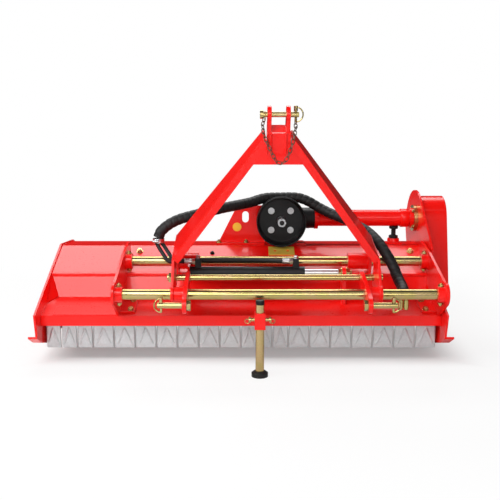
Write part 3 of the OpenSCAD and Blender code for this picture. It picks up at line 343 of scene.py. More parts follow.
# %% Lines through a route
def smooth(route, steps):
    """A smooth curve through the points of a route, with steps pieces to a span."""
    points = []
    last = len(route) - 1
    for i in range(last):
        a, b, c, d = (route[min(max(k, 0), last)] for k in range(i - 1, i + 3))
        for t in (j / steps for j in range(steps)):
            bend = (2 * a - 5 * b + 4 * c - d) * t * t + (3 * b - a - 3 * c + d) * t**3
            points.append(0.5 * (2 * b + (c - a) * t + bend))
    return points + [route[-1]]


def run_length(points):
    return sum((q - p).length for p, q in zip(points, points[1:]))


def spaced(points, gap):
    """Points on the same line at equal distances of about gap."""
    total = run_length(points)
    count = max(2, round(total / gap))
    step = total / count
    out, gone, k = [points[0]], 0.0, 0
    for i in range(1, count):
        while gone + (points[k + 1] - points[k]).length < i * step:
            gone += (points[k + 1] - points[k]).length
            k += 1
        share = (i * step - gone) / (points[k + 1] - points[k]).length
        out.append(points[k].lerp(points[k + 1], share))
    return out + [points[-1]]


def directions(points, closed=False):
    """For each point the way ahead and two ways square to it, carried on without twist."""
    count, side, out = len(points), None, []
    for i in range(count):
        before = points[i - 1] if closed or i else points[0]
        after = points[(i + 1) % count] if closed or i < count - 1 else points[-1]
        ahead = (after - before).normalized()
        side = side or ahead.orthogonal()
        side = (side - ahead * side.dot(ahead)).normalized()
        out.append((ahead, side, ahead.cross(side)))
    return out


# %% [markdown]
# A piece is gathered in a `Shape`: tubes, turned forms and flat plates all come down to a loft, a
# row of rings joined by quads and closed at the ends. Sharp edges stay sharp, and the rest is
# shaded smooth.


# %% Shapes
def show(name, mesh, body, slot):
    thing = bpy.data.objects.new(name, mesh)
    bpy.context.scene.collection.objects.link(thing)
    mesh.materials.clear()
    mesh.materials.append(finishes[slot])
    if body:
        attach(thing, body)
    return thing


class Shape:
    def __init__(self):
        self.bm = bmesh.new()

    def loft(self, rings, closed=False):
        rows = [[self.bm.verts.new(p) for p in ring] for ring in rings]
        pairs = list(zip(rows, rows[1:])) + ([(rows[-1], rows[0])] if closed else [])
        for low, high in pairs:
            for j in range(len(low)):
                self.bm.faces.new((low[j - 1], low[j], high[j], high[j - 1]))
        if not closed:
            self.bm.faces.new(rows[0])
            self.bm.faces.new(rows[-1])
        return self

    def ring(self, centre, side, up, size, sides):
        turns = (2 * math.pi * j / sides for j in range(sides))
        return [centre + size(a) * (side * math.cos(a) + up * math.sin(a)) for a in turns]

    def tube(self, centres, radius, sides=12, closed=False):
        """A tube along centres; radius is a number, or a rule of a ring's number and the angle."""
        rule = radius if callable(radius) else lambda i, a: radius
        ways = directions(centres, closed)
        rings = [
            self.ring(centre, side, up, lambda a, i=i: rule(i, a), sides)
            for i, (centre, (_, side, up)) in enumerate(zip(centres, ways))
        ]
        return self.loft(rings, closed)

    def turned(self, base, axis, profile, sides=24, closed=False):
        """A turned form on axis from base, from pairs of height and radius in millimetres."""
        axis = Vector(axis).normalized()
        side = axis.orthogonal().normalized()
        up = axis.cross(side)
        rings = [
            self.ring(base + axis * h / 1000, side, up, lambda a, r=r: r / 1000, sides)
            for h, r in profile
        ]
        return self.loft(rings, closed)

    def plate(self, outline, depth):
        """A flat outline pushed through by the vector depth."""
        return self.loft([outline, [p + depth for p in outline]])

    def block(self, low, high):
        """A box between two corners in millimetres."""
        (x0, y0, z0), (x1, y1, z1) = low, high
        foot = [at(x, y, z0) for x, y in ((x0, y0), (x1, y0), (x1, y1), (x0, y1))]
        return self.plate(foot, at(0, 0, z1) - at(0, 0, z0))

    def piece(self, name, body, slot, sharp=38):
        """Ends the shape as a mesh; edges that bend by more than sharp degrees stay sharp."""
        bmesh.ops.recalc_face_normals(self.bm, faces=self.bm.faces)
        for face in self.bm.faces:
            face.smooth = True
        for edge in self.bm.edges:
            edge.smooth = edge.calc_face_angle(0) < math.radians(sharp)
        mesh = bpy.data.meshes.new(name)
        self.bm.to_mesh(mesh)
        self.bm.free()
        print(name, len(mesh.polygons), "faces")
        return show(name, mesh, body, slot)


# %% [markdown]
# The wrap is a flat plastic band wound round both hoses. Its turns show as a shallow step that
# winds along the tube, so the radius dips where the distance along the hose and the angle meet a
# turn's edge. One end moves with the hitch and the other stays on the deck, but here the wrap is
# one still piece that belongs to no body.

# %% Spiral wrap
SLEEVE_R, WRAP_PITCH, WRAP_STEP = 22.0, 25.0, 2.5
WRAP_DEEP, WRAP_SOFT, WRAP_SLOPE = 1.7, 2.6, 0.5
sleeve_route = [
    (-333, 139, 478), (-322, 141, 503), (-291, 150, 529), (-251, 163, 548), (-200, 180, 561),
    (-140, 205, 573), (-83, 235, 584), (-21, 275, 592), (39, 335, 598), (103, 380, 612),
    (173, 402, 613), (243, 404, 612), (290, 397, 598), (340, 386, 570), (385, 358, 549),
    (444, 312, 528), (492, 262, 507), (527, 215, 487), (558, 152, 456), (583, 106, 416),
    (606, 82, 373), (620, 52, 332), (627, 5, 308), (626, -40, 297), (624, -50, 282),
]  # fmt: skip
sleeve_line = spaced(smooth([at(*p) for p in sleeve_route], 12), WRAP_STEP / 1000)


def wrap_radius(i, angle):
    turn = (i * WRAP_STEP / WRAP_PITCH + angle / (2 * math.pi)) % 1
    edge = min(turn, 1 - turn) * WRAP_PITCH
    return (SLEEVE_R - WRAP_DEEP * math.exp(-((edge / WRAP_SOFT) ** 2)) - WRAP_SLOPE * turn) / 1000


hose_wrap = Shape().tube(sleeve_line, wrap_radius, 24).piece("hose_wrap", None, "black_rubber", 60)
at(-333, 139, 478)
at(-21, 275, 592)
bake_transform(hose_wrap)
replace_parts(hose_wrap, "hose_sleeve")
run_length(sleeve_line)
print("wrap", round(run_length(sleeve_line), 3), "m")

# %% Bare hoses
HOSE_R, HOSE_STEP = 8.0, 6.0
hose_routes = {
    "short_hose": [
        (-182, 62, 394), (-225, 64, 394), (-262, 66, 392), (-290, 84, 391), (-309, 108, 409),
        (-332, 128, 440), (-342, 137, 460), (-342, 138, 467),
    ],
    "long_hose": [
        (205, 62, 394), (160, 68, 394), (100, 80, 394), (0, 84, 394), (-150, 84, 394),
        (-262, 86, 394), (-281, 110, 404), (-296, 127, 422), (-312, 138, 444), (-323, 141, 459),
        (-323, 141, 467),
    ],
}  # fmt: skip
for name, route in hose_routes.items():
    line = spaced(smooth([at(*p) for p in route], 12), HOSE_STEP / 1000)
    hose = Shape().tube(line, HOSE_R / 1000, 16).piece(name, "hitch", "black_rubber", 60)
    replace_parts(hose, "hose_tails")
    run_length(line)
    print(name, round(run_length(line), 3), "m")

# %% [markdown]
# Each hose ends in a crimped steel ferrule and a nut on the cylinder's port. The crimp shows as
# rings pressed into the sleeve. A bright band with a worm screw holds both hoses to the wrap.

# %% Hose fittings
PORT_XS, PORT_Y, PORT_Z = (-182, 205), 62, 394
HOSE_NUT = [(-0.4, 12.2), (0, 13), (11, 13), (12, 12)]
PORT_NUT = [(-0.5, 11), (1.5, 11), (1.5, 9.5), (9, 9.5), (11, 8)]
FERRULE_R, CRIMP_R = 10.6, 9.8
ferrule = [(12, 9), (14, 10.4)]
for h in range(16, 40, 6):
    ferrule += [(h, FERRULE_R), (h + 3, FERRULE_R), (h + 3.6, CRIMP_R), (h + 5.4, CRIMP_R)]
ferrule += [(41, FERRULE_R), (42, 9)]
fittings = Shape()
for x in PORT_XS:
    port = at(x, PORT_Y, PORT_Z)
    fittings.turned(port, (-1, 0, 0), HOSE_NUT, 6)
    fittings.turned(port, (-1, 0, 0.02), ferrule, 20)
    fittings.turned(at(x + 12, PORT_Y, PORT_Z + 12), UPWARDS, PORT_NUT, 6)
fittings.piece("hose_fittings", "hitch", "plain_steel")

CLAMP_X, CLAMP_Y, CLAMP_Z = -333, 139, 457
band = Shape()
band.turned(
    at(CLAMP_X, CLAMP_Y, CLAMP_Z),
    UPWARDS,
    [(0, 21.5), (0, 23.4), (1, 24), (3, 23.6), (14, 23.6), (16, 24), (17, 23.4), (17, 21.5)],
    40,
    closed=True,
)
band.block((CLAMP_X - 20, CLAMP_Y - 29, CLAMP_Z + 4), (CLAMP_X, CLAMP_Y - 22, CLAMP_Z + 13))
screw = [(0, 3.6), (2, 4.6), (24, 4.6), (26, 3.6)]
band.turned(at(CLAMP_X - 22, CLAMP_Y - 27, CLAMP_Z + 8.5), (1, 0, 0), screw, 12)
band.piece("hose_clamp", "hitch", "plain_steel")

# %% [markdown]
# ## Pieces that repeat
# Bolts, chain links and weld beads are instances on points, which is what Geometry Nodes are for.
# Each point carries the way its piece faces, a second way that fixes its turn, and a size. A graph
# ends in Realize Instances and Set Material, and the evaluated result becomes a plain mesh for one
# body.


# %% Graphs
class Graph(Tree):
    def __init__(self, name, **sizes):
        super().__init__(bpy.data.node_groups.new(name, "GeometryNodeTree"))
        face = self.tree.interface
        face.new_socket("Points", in_out="INPUT", socket_type="NodeSocketGeometry")
        for title, value in sizes.items():
            shown = title.replace("_", " ")
            socket = face.new_socket(shown, in_out="INPUT", socket_type="NodeSocketFloat")
            socket.default_value = value
        face.new_socket("Finish", in_out="INPUT", socket_type="NodeSocketMaterial")
        face.new_socket("Geometry", in_out="OUTPUT", socket_type="NodeSocketGeometry")
        self.inputs = self.tree.nodes.new("NodeGroupInput")

    def given(self, name):
        return Wire(self, self.inputs.outputs[name])

    def carried(self, name):
        kind = {"data_type": "FLOAT_VECTOR"}
        return self.node("GeometryNodeInputNamedAttribute", kind, {"Name": name})

    def joined(self, *forms):
        join = self.tree.nodes.new("GeometryNodeJoinGeometry")
        for form in forms:
            self.tree.links.new(form.socket, join.inputs[0])
        return Wire(self, join.outputs[0])

    def vector(self, x=0.0, y=0.0, z=0.0):
        return self.node("ShaderNodeCombineXYZ", {}, {0: x, 1: y, 2: z})

    def moved(self, form, **change):
        return self.node("GeometryNodeTransform", {}, {"Geometry": form, **change})

    def prism(self, sides, low, high, height, z=0.0):
        """A straight or tapering bar of the given sides, standing on height z."""
        cone = self.node(
            "GeometryNodeMeshCone",
            {},
            {"Vertices": sides, "Radius Bottom": low, "Radius Top": high, "Depth": height},
        )
        return self.moved(cone, Translation=self.vector(z=z))

    def on_points(self, form):
        turn = self.node(
            "FunctionNodeAxesToRotation",
            {"primary_axis": "Z", "secondary_axis": "X"},
            {"Primary Axis": self.carried("facing"), "Secondary Axis": self.carried("across")},
        )
        places = {"Points": self.given("Points"), "Instance": form, "Rotation": turn}
        places["Scale"] = self.carried("size")
        return self.node("GeometryNodeInstanceOnPoints", {}, places)

    def close(self, instances, rounded):
        real = self.node("GeometryNodeRealizeInstances", {}, {"Geometry": instances})
        shading = {"Geometry": real, "Shade Smooth": rounded}
        shaded = self.node("GeometryNodeSetShadeSmooth", {}, shading)
        finish = self.given("Finish")
        dressed = self.node("GeometryNodeSetMaterial", {}, {"Geometry": shaded, "Material": finish})
        end = self.tree.nodes.new("NodeGroupOutput")
        self.tree.links.new(dressed.socket, end.inputs[0])
        return self


def grow(name, graph, body, slot, points=(), lines=(), **sizes):
    """Runs a graph on points, given as place, facing, across and size, or along lines."""
    spots = [p[0] for p in points] + [p for line in lines for p in line]
    starts = [sum(len(line) for line in lines[:k]) for k in range(len(lines))]
    edges = [(s + i, s + i + 1) for s, line in zip(starts, lines) for i in range(len(line) - 1)]
    seed_mesh = bpy.data.meshes.new(name)
    seed_mesh.from_pydata(spots, edges, [])
    for k, title in enumerate(("facing", "across", "size"), 1):
        if points:
            values = seed_mesh.attributes.new(title, "FLOAT_VECTOR", "POINT")
            values.data.foreach_set("vector", [x for p in points for x in p[k]])
    seed = bpy.data.objects.new(name + "_points", seed_mesh)
    bpy.context.scene.collection.objects.link(seed)
    modifier = seed.modifiers.new("graph", "NODES")
    modifier.node_group = graph.tree
    chosen = {title.replace("_", " "): value for title, value in sizes.items()}
    chosen["Finish"] = finishes[slot]
    for item in graph.tree.interface.items_tree:
        if item.in_out == "INPUT" and item.name in chosen:
            modifier[item.identifier] = chosen[item.name]
    bpy.context.view_layer.update()
    grown = seed.evaluated_get(bpy.context.evaluated_depsgraph_get())
    mesh = bpy.data.meshes.new_from_object(grown)
    bpy.data.objects.remove(seed)
    mesh.name = name
    for title in ("facing", "across", "size"):
        if title in mesh.attributes:
            mesh.attributes.remove(mesh.attributes[title])
    print(name, len(points) or len(lines), "places,", len(mesh.polygons), "faces")
    return show(name, mesh, body, slot)


# %% [markdown]
# A hex bolt is a washer, a six-sided head and a chamfer on it, all prisms on one axis. The stud's
# end stands out of a nut by the given length.


# %% Bolt graph
def bolt_graph():
    sizes = {"Washer_radius": 12.0, "Washer_height": 2.0, "Head_radius": 10.0, "Head_height": 7.0}
    g = Graph("bolt", **sizes, Stud_length=4.0)
    washer, thick = g.given("Washer radius"), g.given("Washer height")
    head, high = g.given("Head radius"), g.given("Head height")
    form = g.joined(
        g.prism(24, washer, washer, thick * 0.8),
        g.prism(24, washer, washer * 0.95, thick * 0.2, thick * 0.8),
        g.prism(6, head, head, high * 0.78, thick),
        g.prism(6, head, head * 0.86, high * 0.22, thick + high * 0.78),
        g.prism(12, head * 0.5, head * 0.5, g.given("Stud length"), thick + high),
    )
    small = g.moved(form, Scale=(0.001, 0.001, 0.001))
    return g.close(g.on_points(small), False)


bolt = bolt_graph()


def bolt_at(place, facing, size=1.0):
    facing = Vector(facing).normalized()
    return (place, facing, facing.orthogonal(), (size, size, size))


# %% [markdown]
# The deck's slopes have their own directions square to the sheet, worked out from the corners of
# the CAD outline. Bolts that stand on a slope face that way.

# %% Deck outline
BEAM, LEDGE, CREASE, CROWN, CROWN_BACK = (-45, 201), (108, 238), (156, 330), (343, 410), (568, 393)
corners = [BEAM, LEDGE, CREASE, CROWN, CROWN_BACK]
HALF_W, OUTER_X = 775, 783  # half the deck inside its side plates, and half of it over them


def deck_z(y):
    for (y0, z0), (y1, z1) in zip(corners, corners[1:]):
        if y <= y1:
            break
    return z0 + (z1 - z0) * (y - y0) / (y1 - y0)


def off_deck(x, y, lift=0.0):
    """A place on the deck sheet at x and y, raised square to the sheet by lift."""
    return at(x, y, deck_z(y)) + deck_up(y) * lift / 1000


def deck_up(y):
    return Vector((0, deck_z(y) - deck_z(y + 0.5), 0.5)).normalized()


# %% Bolts on the deck
BRACKETS = ((-480, 1), (770, -1))  # each tube bracket's outer face, and its way inwards
BRACKET_T, COLLAR_R, COLLAR_MID = 10, 30.6, 24
FOOT_BOLT_XS, FOOT_BOLT_Y = (-432, 723), 298
SUPPORT_BOLT_XS, SUPPORT_BOLT_Y, SUPPORT_FOOT_T = (-95.6, 22.3), 366, 10
LUG_BOLT_Y, LUG_BOLT_Z = 62, 348
LUG_BOLT_ENDS = ((415.2, 1, 1.9), (399.8, -1, 1.7))  # x, way out and size of its head and its nut
FLANGE_X, FLANGE_BOLT_R, BEARING_BOLT_R = HALF_W - 15, 48, 49


def four_round(x, y, z, radius):
    """Four places round an axis along X, a quarter turn apart."""
    angles = [math.radians(45 + 90 * k) for k in range(4)]
    return [at(x, y + radius * math.sin(a), z + radius * math.cos(a)) for a in angles]


plated = []
for plate_x, way in BRACKETS:
    for y, z in (LOWER_TUBE, UPPER_TUBE):
        for up in (1, -1):
            spot = at(plate_x + way * COLLAR_MID, y, z + up * COLLAR_R)
            plated.append(bolt_at(spot, (0, 0, up)))
for x in SUPPORT_BOLT_XS:
    spot = off_deck(x, SUPPORT_BOLT_Y, SUPPORT_FOOT_T)
    plated.append(bolt_at(spot, deck_up(SUPPORT_BOLT_Y), 1.1))
for x in FOOT_BOLT_XS:
    plated.append(bolt_at(off_deck(x, FOOT_BOLT_Y), deck_up(FOOT_BOLT_Y), 1.2))
for spot in four_round(FLANGE_X, DRIVE_Y, DRIVE_Z, FLANGE_BOLT_R):
    plated.append(bolt_at(spot, (-1, 0, 0), 0.8))
for x, way, size in LUG_BOLT_ENDS:
    plated.append(bolt_at(at(x, LUG_BOLT_Y, LUG_BOLT_Z), (way, 0, 0), size))
grow("deck_bolts", bolt, "deck", "gold_plating", plated)

# %% Dark bolts
ROTOR_Y, ROTOR_Z, BEARING_T = 370, 225, 10
ROLLER_ARM_BOLTS = ((588, 200), (632, 182))
GEAR_RIM_XS, GEAR_RIM_YS, GEAR_RIM_Z = (110, 236), (378, 508), 580
GEAR_SIDE_X, GEAR_SIDE_YS, GEAR_SIDE_ZS = 103, (395, 495), (465, 562)
SHEET_BOLT_X, SHEET_BOLT_Y = -122, 287
dark = []
for way in (-1, 1):
    face_x = (OUTER_X + BEARING_T) * way
    for spot in four_round(face_x, ROTOR_Y, ROTOR_Z, BEARING_BOLT_R):
        dark.append(bolt_at(spot, (way, 0, 0), 0.9))
    for y, z in ROLLER_ARM_BOLTS:
        dark.append(bolt_at(at(face_x, y, z), (way, 0, 0)))
for x in GEAR_RIM_XS:
    for y in GEAR_RIM_YS:
        dark.append(bolt_at(at(x, y, GEAR_RIM_Z), UPWARDS, 0.5))
for y in GEAR_SIDE_YS:
    for z in GEAR_SIDE_ZS:
        dark.append(bolt_at(at(GEAR_SIDE_X, y, z), (-1, 0, 0), 0.7))
dark.append(bolt_at(off_deck(SHEET_BOLT_X, SHEET_BOLT_Y), deck_up(SHEET_BOLT_Y), 0.8))
grow("dark_bolts", bolt, "deck", "black_iron", dark)

# %% [markdown]
# The chain is links of bent wire. One link is a rectangle with full round ends, swept by a round
# wire, and every second link is turned a quarter round the chain's run.


# %% Chain
def link_graph():
    g = Graph("chain_link", Link_length=0.0190, Link_width=0.0116, Wire=0.0017)
    long, wide, wire = g.given("Link length"), g.given("Link width"), g.given("Wire")
    box = g.node("GeometryNodeCurvePrimitiveQuadrilateral", {}, {"Width": long, "Height": wide})
    bends = {"Curve": box, "Radius": wide * 0.499, "Count": 5}
    round_ends = g.node("GeometryNodeFilletCurve", {"mode": "POLY"}, bends)
    section = g.node("GeometryNodeCurvePrimitiveCircle", {}, {"Radius": wire, "Resolution": 8})
    bent = g.node("GeometryNodeCurveToMesh", {}, {"Curve": round_ends, "Profile Curve": section})
    return g.close(g.on_points(bent), True)


LINK_PITCH = 0.0156
chain_route = [
    (80, -188, 946), (76, -192, 936), (78, -217, 900), (98, -219, 850), (120, -219, 808),
    (138, -219, 797), (158, -219, 810), (178, -218, 862), (189, -204, 910), (191, -188, 926),
    (191, -188, 939.6),
]  # fmt: skip
chain_line = spaced(smooth([at(*p) for p in chain_route], 8), LINK_PITCH)
links = [
    (place, side if i % 2 else up, ahead, (1, 1, 1))
    for i, (place, (ahead, side, up)) in enumerate(zip(chain_line, directions(chain_line)))
]
chain = grow("chain_links", link_graph(), "hitch", "rusty_steel", links)
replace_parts(chain, "pin_chain")

# %% [markdown]
# The flaps are pressed from thin sheet. Each has a rib like an upside-down V, side edges that are
# bent back and a lower band that tips backwards. A flap is a loft too: every ring is a level cut
# through the sheet, its front from left to right and its back the other way. A rolled eye hangs it
# on the rod.

# %% Pressed flaps
RUN_FLAPS, NARROW, NARROW_W, FLAP_END = 10, 3, 62.0, 5.0
WIDE_W = (HALF_W - FLAP_END - NARROW * NARROW_W) / (RUN_FLAPS - NARROW)
FLAP_GAP, FLAP_T, FLAP_LOW, FLAP_TOP, ROD_Z = 5.5, 2.0, 59.0, 164.0, 172.0
RIB_LOW, RIB_TOP, RIB_PROUD, RIB_WIDE, RIB_FOOT = 77.0, 137.0, 3.6, 2.9, 0.34
EDGE_BAND, EDGE_BEND, FOOT_TIP = 4, 0.2, 0.14
COLUMNS, ROWS = 44, 42


def pressed(u, z, wide):
    """How far the sheet stands forward at u from the flap's middle, on height z."""
    foot, high = RIB_FOOT * wide, RIB_TOP - RIB_LOW
    down = max(RIB_TOP - z, -6)
    off = abs(abs(u) * high - down * foot) / math.hypot(foot, high)
    off += max(RIB_LOW - z, 0) + max(z - RIB_TOP, 0)
    edge = max(0, EDGE_BAND - (wide / 2 - abs(u)))
    tipped = max(0, RIB_LOW - EDGE_BAND - z)
    return RIB_PROUD * math.exp(-((off / RIB_WIDE) ** 2)) - EDGE_BEND * edge**2 - FOOT_TIP * tipped


def flap(shape, middle, wide):
    places = [wide * (k / (COLUMNS - 1) - 0.5) for k in range(COLUMNS)]
    rings = []
    for k in range(ROWS):
        z = FLAP_LOW + (FLAP_TOP - FLAP_LOW) * k / (ROWS - 1)
        front = [(u, 1.5 - FLAP_T - pressed(u, z, wide)) for u in places]
        ring = front + [(u, y + FLAP_T) for u, y in reversed(front)]
        rings.append([at(middle + u, y, z) for u, y in ring])
    shape.loft(rings)
    eye = [(0, 6.6), (0, 9.4), (wide, 9.4), (wide, 6.6)]
    shape.turned(at(middle - wide / 2, 0, ROD_Z), (1, 0, 0), eye, 20, closed=True)


widths = [NARROW_W] * NARROW + [WIDE_W] * (RUN_FLAPS - NARROW)
runs = (("left_flaps", "flaps_left", FLAP_END - HALF_W), ("right_flaps", "flaps_right", 0))
for body, node, start in runs:
    sheets = Shape()
    for k, wide in enumerate(widths):
        flap(sheets, start + sum(widths[:k]) + wide / 2, wide - FLAP_GAP)
    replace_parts(sheets.piece(node + "_pressed", body, "galvanised", 50), node)

# %% [markdown]
# A weld is a row of overlapping drops along a seam. The seams are lines from the CAD sizes; the
# graph turns them into curves, sets a drop every few millimetres, and varies the drops a little by
# a fixed seed.


# %% Weld graph
def weld_graph():
    g = Graph("weld", Drop=0.0032, Step=0.0036)
    run = g.node("GeometryNodeMeshToCurve", {}, {"Mesh": g.given("Points")})
    step = g.given("Step")
    along = g.node("GeometryNodeCurveToPoints", {"mode": "LENGTH"}, {"Curve": run, "Length": step})
    drop = g.node("GeometryNodeMeshIcoSphere", {}, {"Radius": g.given("Drop"), "Subdivisions": 2})
    uneven = g.node(
        "FunctionNodeRandomValue", {"data_type": "FLOAT"}, {2: 0.8, 3: 1.15, "Seed": 11}, out=1
    )
    places = {"Points": along, "Instance": drop, "Scale": uneven}
    drops = g.node("GeometryNodeInstanceOnPoints", {}, places)
    return g.close(drops, True)


weld = weld_graph()


def circle_x(place, radius, turns=(0, 360), count=36):
    """Points round a circle square to X, with the radius in millimetres."""
    angles = [math.radians(turns[0] + (turns[1] - turns[0]) * k / count) for k in range(count + 1)]
    return [place + Vector((0, math.sin(a), math.cos(a))) * radius / 1000 for a in angles]


# %% Welds on the deck
COLLAR_WELD_R = 31
BRACKET_SEAM = (-40, 40, 107, 130, 155, 220, 290)
END_SEAM = (-44, 40, 107, 130, 157, 250, 342, 450, 566)
SUPPORT_SEAM, SUPPORT_SEAM_Y, SUPPORT_SEAM_LIFT = (-90, 0, 100), 391, 10.5
SADDLE_FRONT, SADDLE_FRONT_Y = (104, 170, 242), 376
SADDLE_XS, SADDLE_SEAM = (103.5, 279), (378, 440, 512)
LUG_XS, LUG_SEAM = (399.5, 415.5), (42, 62, 86)
JACK_SEAM = ((59, 161), (59, 200), (81, 200), (81, 161))
seams = []
for plate_x, way in BRACKETS:
    for y, z in (LOWER_TUBE, UPPER_TUBE):
        seams.append(circle_x(at(plate_x + way * BRACKET_T, y, z), COLLAR_WELD_R))
    for face_x in (plate_x, plate_x + way * BRACKET_T):
        seams.append([off_deck(face_x, y) for y in BRACKET_SEAM])
seams.append([off_deck(x, SUPPORT_SEAM_Y, SUPPORT_SEAM_LIFT) for x in SUPPORT_SEAM])
seams.append([off_deck(x, SADDLE_FRONT_Y) for x in SADDLE_FRONT])
for x in SADDLE_XS:
    seams.append([off_deck(x, y) for y in SADDLE_SEAM])
for x in LUG_XS:
    seams.append([off_deck(x, y) for y in LUG_SEAM])
seams.append([at(x, BEAM[0], z) for x, z in JACK_SEAM])
for x in (-HALF_W, HALF_W):
    seams.append([off_deck(x, y, 0.5) for y in END_SEAM])
grow("deck_welds", weld, "deck", "red_paint", lines=seams)

# %% Welds on the hitch
HITCH_X, HITCH_W, HITCH_T, LUG_IN = 132, 788, 10, 39
LOWER_BUSH_R, UPPER_BUSH_R = 28, 32
EAR_XS, EAR_Y, EAR_SEAM = (26, 40), 79.5, (522, 560, 597)
seams = []
for way in (-1, 1):
    inner = HITCH_X + way * (HITCH_W / 2 - HITCH_T)
    seams.append(circle_x(at(inner, *LOWER_TUBE), LOWER_BUSH_R))
    seams.append(circle_x(at(inner, *UPPER_TUBE), UPPER_BUSH_R))
    seams.append(circle_x(at(inner - way * LUG_IN, *LOWER_TUBE), LOWER_BUSH_R))
    for ear_x in EAR_XS:
        seams.append([on_hitch(HITCH_X + way * ear_x, EAR_Y, z) for z in EAR_SEAM])
grow("hitch_welds", weld, "hitch", "red_paint", lines=seams)

# %% [markdown]
# ## Single pieces
# The rest are one-off pieces: wire rings, plugs, the prop under the drive tube, gussets and the
# plates that stiffen the deck.


# %% Wire rings
def arc(centre, first, second, radius, turns, count=24):
    """Points of an arc from the way first towards the way second, with angles in degrees."""
    first, second = Vector(first), Vector(second)
    angles = [math.radians(turns[0] + (turns[1] - turns[0]) * k / count) for k in range(count + 1)]
    return [centre + (first * math.cos(a) + second * math.sin(a)) * radius / 1000 for a in angles]


PIN_REACH, PIN_OUT, LINCH_IN = 83, 92, 14
SNAP_R, SNAP_WIRE, SNAP_TURN = 25.5, 0.0025, (0, 94)
LOOP_TURN = (0, 345)
TOP_PIN = (112, 655)  # the top link pin, in the hitch's own leaning frame
TOP_LINCH_X, TOP_HEAD_X = 191, 83
CHAIN_RING_R, CHAIN_RING_WIRE, CHAIN_RING_DROP = 14.5, 0.0018, 4
PULL_RING_R, PULL_RING_WIRE, PULL_RING_OUT, PULL_RING_Z = 9, 0.0014, 47, 212
PIN_Y = LOWER_TUBE[0] - PIN_REACH * math.cos(HITCH_TILT)
PIN_Z = LOWER_TUBE[1] - PIN_REACH * math.sin(HITCH_TILT)
TOP_Y, TOP_Z = (v * 1000 for v in (on_hitch(0, *TOP_PIN) - at(0, 0, 0)).yz)
linch_x = HITCH_X - HITCH_W / 2 + HITCH_T + LUG_IN - PIN_OUT + LINCH_IN
for body, x, way in (("left_linch", linch_x, -1), ("right_linch", 2 * HITCH_X - linch_x, 1)):
    snap = arc(at(x, PIN_Y, PIN_Z), (way, 0, 0), (0, 0, -1), SNAP_R, SNAP_TURN)
    Shape().tube(snap, SNAP_WIRE, 10).piece(body + "_ring", body, "gold_plating")
rings = Shape()
snap = arc(at(TOP_LINCH_X, TOP_Y, TOP_Z), (1, 0, 0), (0, 0, -1), SNAP_R, SNAP_TURN)
rings.tube(snap, SNAP_WIRE, 10)
hanging = at(TOP_HEAD_X, TOP_Y, TOP_Z - CHAIN_RING_DROP)
rings.tube(arc(hanging, (0, 0, -1), (0, 1, 0), CHAIN_RING_R, LOOP_TURN, 36), CHAIN_RING_WIRE, 8)
rings.piece("top_pin_rings", "hitch", "gold_plating")
jack_rings = Shape()
for way in (-1, 1):
    hanging = at(JACK_X + way * PULL_RING_OUT, JACK_Y, PULL_RING_Z)
    loop = arc(hanging, (way, 0, 0.1), (0, -0.4, 1), PULL_RING_R, LOOP_TURN, 30)
    jack_rings.tube(loop, PULL_RING_WIRE, 8)
jack_rings.piece("jack_rings", "deck", "gold_plating")

# %% Plugs and caps
JACK_TOP_Z, SHAFT_END_Y, TUBE_COLLAR_X = 276, 275.4, 706
plugs = Shape()
plug = [(-8, 11.8), (0, 11.8), (0, 16.6), (13, 16.2), (16, 15), (17.5, 12)]
plugs.turned(at(JACK_X, JACK_Y, JACK_TOP_Z), UPWARDS, plug, 32)
plugs.piece("jack_plug", "jack", "black_plastic")
# Painted shade: a thin black disc on the shaft's end stands in for the dark inside of its centre
# hole.
shaft_end = Shape()
painted_hole = [(-0.6, 10.5), (0.4, 10.5), (0.5, 10)]
shaft_end.turned(at(GEAR_X, SHAFT_END_Y, DRIVE_Z), (0, -1, 0), painted_hole, 32)
shaft_end.piece("shaft_end_painted_hole", "pto", "black_iron")
collar = Shape()
sleeve = [(0, 35.5), (0.6, 39.5), (2, 40.5), (33, 40.5), (35, 39), (36, 35.5)]
collar.turned(at(TUBE_COLLAR_X, DRIVE_Y, DRIVE_Z), (1, 0, 0), sleeve, 64)
collar.piece("tube_collar", "deck", "red_paint")
PROP_X, PROP_HALF, PROP_FOOT_T = 680, 32, 8
PROP_CUP_Z, PROP_NUT_Z, PROP_SCREW_Z, PROP_PAD_Z = 404, 427, 440, 469
prop = Shape()
thread = [(0, 10.5)] + [(2 + k, 10.5 - k % 2) for k in range(28)] + [(31, 10.5)]
prop.turned(at(PROP_X, DRIVE_Y, PROP_NUT_Z), UPWARDS, [(0, 20), (12, 20), (13.5, 17)], 6)
prop.turned(at(PROP_X, DRIVE_Y, PROP_SCREW_Z), UPWARDS, thread, 20)
pad = [(0, 17), (1.5, 19), (9, 20), (11.5, 19)]
prop.turned(at(PROP_X, DRIVE_Y, PROP_PAD_Z), UPWARDS, pad, 28)
prop.piece("prop_screw", "deck", "black_iron")
base = Shape()
x0, x1 = PROP_X - PROP_HALF, PROP_X + PROP_HALF
y0, y1 = DRIVE_Y - PROP_HALF, DRIVE_Y + PROP_HALF
foot = [off_deck(x, y) for x, y in ((x0, y0), (x1, y0), (x1, y1), (x0, y1))]
base.plate(foot, Vector(UPWARDS) * PROP_FOOT_T / 1000)
cup = [(0, 26), (20, 26), (23, 24), (23.4, 20)]
base.turned(at(PROP_X, DRIVE_Y, PROP_CUP_Z), UPWARDS, cup, 40)
prop_base = base.piece("prop_base", "deck", "red_paint")
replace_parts(prop_base, "tube_prop")

